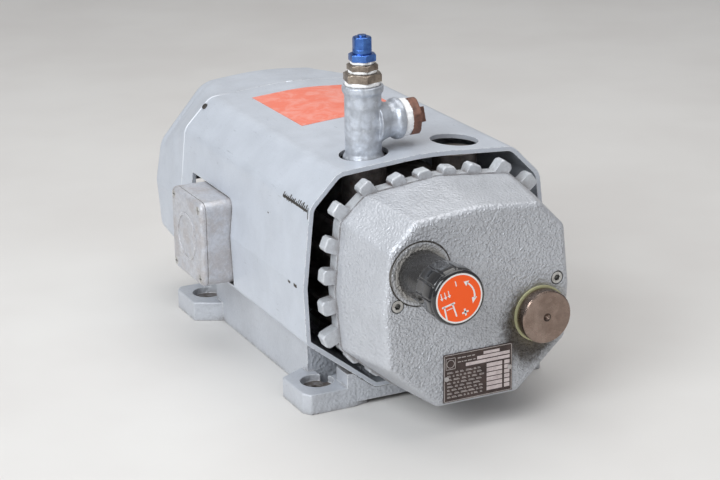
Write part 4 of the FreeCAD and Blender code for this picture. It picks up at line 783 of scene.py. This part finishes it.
def valve_spring():
    """The spring in the valve, in a front half and a rear half, neither of them attached to a body.

    firm is the stretch at each end; the point it gives is not used."""
    low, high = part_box("valve_spring")
    wire = 0.0009
    firm = 0.0024
    reach = (high.x - low.x) / 2 - wire
    turns, steps = 5, 240
    start, end = low.y + wire, high.y - wire
    path = []
    for i in range(steps + 1):
        angle = 2 * math.pi * turns * i / steps
        path.append(Vector((KNOB.x + reach * math.cos(angle), start + (end - start) * i / steps,
                            KNOB.z + reach * math.sin(angle))))
    split = steps // 2
    halves = (("valve_spring_front", path[:split + 1], "spring_nut", low.y + firm),
              ("valve_spring_rear", path[split:], "poppet", high.y - firm))
    for name, half_path, body, far in halves:
        points, faces = wire_mesh(half_path, wire)
        half = piece(name, points, faces, ground_steel, None, smooth=True)
        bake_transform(half)
        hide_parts("valve_spring")


def mark(tree, ends, width):
    """A ribbon laid on the left side of the cowl along (y, z) points, as (points, faces)."""
    step, lift, beside_x = 0.0005, 0.0001, -0.2
    path = [ends[0]]
    for (ay, az), (by, bz) in zip(ends, ends[1:]):
        steps = max(1, round(math.hypot(by - ay, bz - az) / step))
        path += [(ay + (by - ay) * k / steps, az + (bz - az) * k / steps) for k in range(1, steps + 1)]
    points, faces = [], []
    for i, (y, z) in enumerate(path):
        ay, az = path[max(i - 1, 0)]
        by, bz = path[min(i + 1, len(path) - 1)]
        spot, normal, _, _ = tree.ray_cast(Vector((beside_x, y, z)), Vector((1, 0, 0)))
        along = Vector((0, by - ay, bz - az)).normalized()
        across = along.cross(normal).normalized() * width / 2
        points += [spot + across + normal * lift, spot - across + normal * lift]
        if i:
            faces.append((2 * i - 2, 2 * i - 1, 2 * i + 1, 2 * i))
    return points, faces


def cowl_marks():
    """A comb-like scratch near the front of the left side, and three chips."""
    mesh = nodes["cowl"].data
    tree = BVHTree.FromPolygons([v.co for v in mesh.vertices], [p.vertices for p in mesh.polygons])
    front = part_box("cowl")[0].y
    spine_z = 0.1795
    parts = [mark(tree, [(front + 0.0535, spine_z), (front + 0.0043, spine_z - 0.0008)], 0.0021)]
    for i in range(15):
        y = front + 0.0525 - 0.0032 * i + rng.uniform(-0.0004, 0.0004)
        tip = spine_z + 0.0005 + rng.uniform(0.0012, 0.0036)
        parts.append(mark(tree, [(y, spine_z - 0.0015), (y - 0.0003, tip)], rng.uniform(0.0013, 0.0022)))
    for i in range(9):
        y = front + 0.0500 - 0.0050 * i + rng.uniform(-0.0009, 0.0009)
        tip = spine_z - rng.uniform(0.0014, 0.0026)
        parts.append(mark(tree, [(y, spine_z), (y - 0.0002, tip)], 0.0015))
    hook = [(front + 0.0042, spine_z + 0.0020), (front + 0.0030, spine_z - 0.0010),
            (front + 0.0022, spine_z - 0.0070)]
    parts.append(mark(tree, hook, 0.0013))
    points, faces = gather(parts)
    piece("cowl_scratch", points, faces, scratch_dark, "pump")
    chips = []
    for y, z, size in ((0.0285, 0.1115, 0.0024), (0.0160, 0.1118, 0.0031), (0.0800, 0.1568, 0.0012)):
        path = [(front + y + size, z + 0.0003), (front + y, z - 0.0002), (front + y - size, z + 0.0002)]
        chips.append(mark(tree, path, size * 0.9))
    points, faces = gather(chips)
    piece("cowl_chips", points, faces, chip_bare, "pump")


def outline_at(node, y):
    """The outer outline of a CAD node at one station, as (x, z) points in order round the shaft."""
    tolerance = 0.0002
    reach = {}
    for vertex in nodes[node].data.vertices:
        if abs(vertex.co.y - y) < tolerance:
            dx, dz = vertex.co.x - SHAFT.x, vertex.co.z - SHAFT.z
            key = round(math.degrees(math.atan2(dx, dz)))
            if key not in reach or math.hypot(dx, dz) > math.hypot(*reach[key]):
                reach[key] = (dx, dz)
    return [(SHAFT.x + reach[key][0], SHAFT.z + reach[key][1]) for key in sorted(reach)]


def ridge():
    """The raised lip where the rear dome meets the cowl, in paint lighter than the cowl's: a painted
    highlight along the lip.
    """
    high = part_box("cowl")[1]
    limit = high.x - 0.0001
    sunk, half_height, half_width = 0.0004, 0.0009, 0.0012
    section_points = 10
    rows = []
    for x, z in outline_at("cowl", high.y):
        out = Vector((x - SHAFT.x, 0, z - SHAFT.z)).normalized()
        row = []
        for k in range(section_points):
            turn = 2 * math.pi * k / section_points
            spot = Vector((x, high.y - sunk, z)) + out * (half_height * math.cos(turn) - sunk)
            spot.y += half_width * math.sin(turn)
            spot.x = max(-limit, min(limit, spot.x))
            row.append(spot)
        rows.append(row)
    points, faces = loop_mesh(rows)
    piece("cowl_ridge", points, faces, ridge_highlight_paint, "pump", smooth=True)


def soften(node, voxel, passes):
    """Rounds a rough casting's inner and outer corners."""
    obj = nodes[node]
    grid = obj.modifiers.new("skin", "REMESH")
    grid.mode = "VOXEL"
    grid.voxel_size = voxel
    grid.use_smooth_shade = True
    relax = obj.modifiers.new("relax", "SMOOTH")
    relax.factor = 0.5
    relax.iterations = passes


fluted_knob()
knob_signs()
nameplate_fields()
sealing_tapes()
open_port_thread()
valve_spring()
cowl_marks()
ridge()
soften("tee", 0.0006, 14)
soften("side_plug", 0.0005, 5)


# ---- stage, lights and camera -------------------------------------------------------------
def backdrop():
    """A pale floor that curves up into a wall behind the object."""
    front, back, bend, height, half_width, gap = -3.5, 2.6, 1.0, 3.6, 4.0, 0.0002
    steps = 12
    profile = [(front, 0.0), (back, 0.0)]
    for i in range(1, steps + 1):
        angle = math.radians(90 * i / steps)
        profile.append((back + bend * math.sin(angle), bend - bend * math.cos(angle)))
    profile.append((back + bend, height))
    count = len(profile)
    points = [(x, y, z - gap) for x in (-half_width, half_width) for y, z in profile]
    faces = [(i, count + i, count + i + 1, i + 1) for i in range(count - 1)]
    mesh = bpy.data.meshes.new("backdrop")
    mesh.from_pydata(points, [], faces)
    for face in mesh.polygons:
        face.use_smooth = True
    m = Nodes("pale_floor")
    shade = m.mix(m.fit(m.noise(0.25, 3), 0.3, 0.7), (0.66, 0.64, 0.62), (0.70, 0.685, 0.665))
    m.set(Base_Color=shade, Roughness=0.7, Normal=m.bump(m.noise(0.004, 2), 0.0001, 0.2))
    mesh.materials.append(m.material)
    obj = bpy.data.objects.new("backdrop", mesh)
    bpy.context.scene.collection.objects.link(obj)
    obj.rotation_euler = (0, 0, math.radians(-25))


def area_light(name, place, target, size, power, colour=(1, 1, 1)):
    """A soft rectangular lamp that faces its target; power in watts."""
    lamp = bpy.data.lights.new(name, "AREA")
    lamp.shape = "RECTANGLE"
    lamp.size, lamp.size_y = size
    lamp.energy = power
    lamp.color = colour
    obj = bpy.data.objects.new(name, lamp)
    obj.location = place
    obj.rotation_euler = (Vector(target) - Vector(place)).to_track_quat("-Z", "Y").to_euler()
    bpy.context.scene.collection.objects.link(obj)


def lights():
    """A cool key from the left, a broad top light, a faint warm fill, and a strip for the knob's shine."""
    centre = (cad_box[0] + cad_box[1]) / 2
    area_light("key", (-1.9, -0.9, 1.5), centre, (1.5, 1.5), 48, (0.93, 0.97, 1.0))
    area_light("top", (0.2, 0.1, 2.2), centre, (2.4, 2.0), 30, (1.0, 0.99, 0.97))
    area_light("front_fill", (0.9, -2.2, 0.9), centre, (1.8, 1.2), 2, (1.0, 0.96, 0.92))
    area_light("strip", (-1.3, -1.6, 1.5), KNOB, (0.06, 0.9), 4.0)
    world = bpy.data.worlds.new("studio")
    world.use_nodes = True
    background = world.node_tree.nodes["Background"]
    background.inputs["Color"].default_value = (0.93, 0.95, 1.0, 1)
    background.inputs["Strength"].default_value = 0.30
    bpy.context.scene.world = world
    bpy.context.scene.view_settings.view_transform = "Standard"


def camera():
    """A long lens, in front of the pump, to its left and above it."""
    place = Vector((-0.75135, -1.58652, 0.68340))
    azimuth, elevation, roll = math.radians(-25.63), math.radians(18.6), math.radians(-0.87)
    data = bpy.data.cameras.new("camera")
    data.lens = 101.28
    data.sensor_width = 36.0
    data.clip_start, data.clip_end = 0.05, 30
    obj = bpy.data.objects.new("camera", data)
    back = Vector((math.sin(azimuth) * math.cos(elevation), -math.cos(azimuth) * math.cos(elevation),
                   math.sin(elevation)))
    right = (-back).cross(Vector((0, 0, 1))).normalized()
    up = right.cross(-back)
    tilted_right = right * math.cos(roll) + up * math.sin(roll)
    tilted_up = up * math.cos(roll) - right * math.sin(roll)
    columns = (tilted_right, tilted_up, back, place)
    obj.matrix_world = Matrix([[column[i] for column in columns] for i in range(3)] + [[0, 0, 0, 1]])
    bpy.context.scene.collection.objects.link(obj)
    bpy.context.scene.camera = obj


backdrop()
lights()
camera()
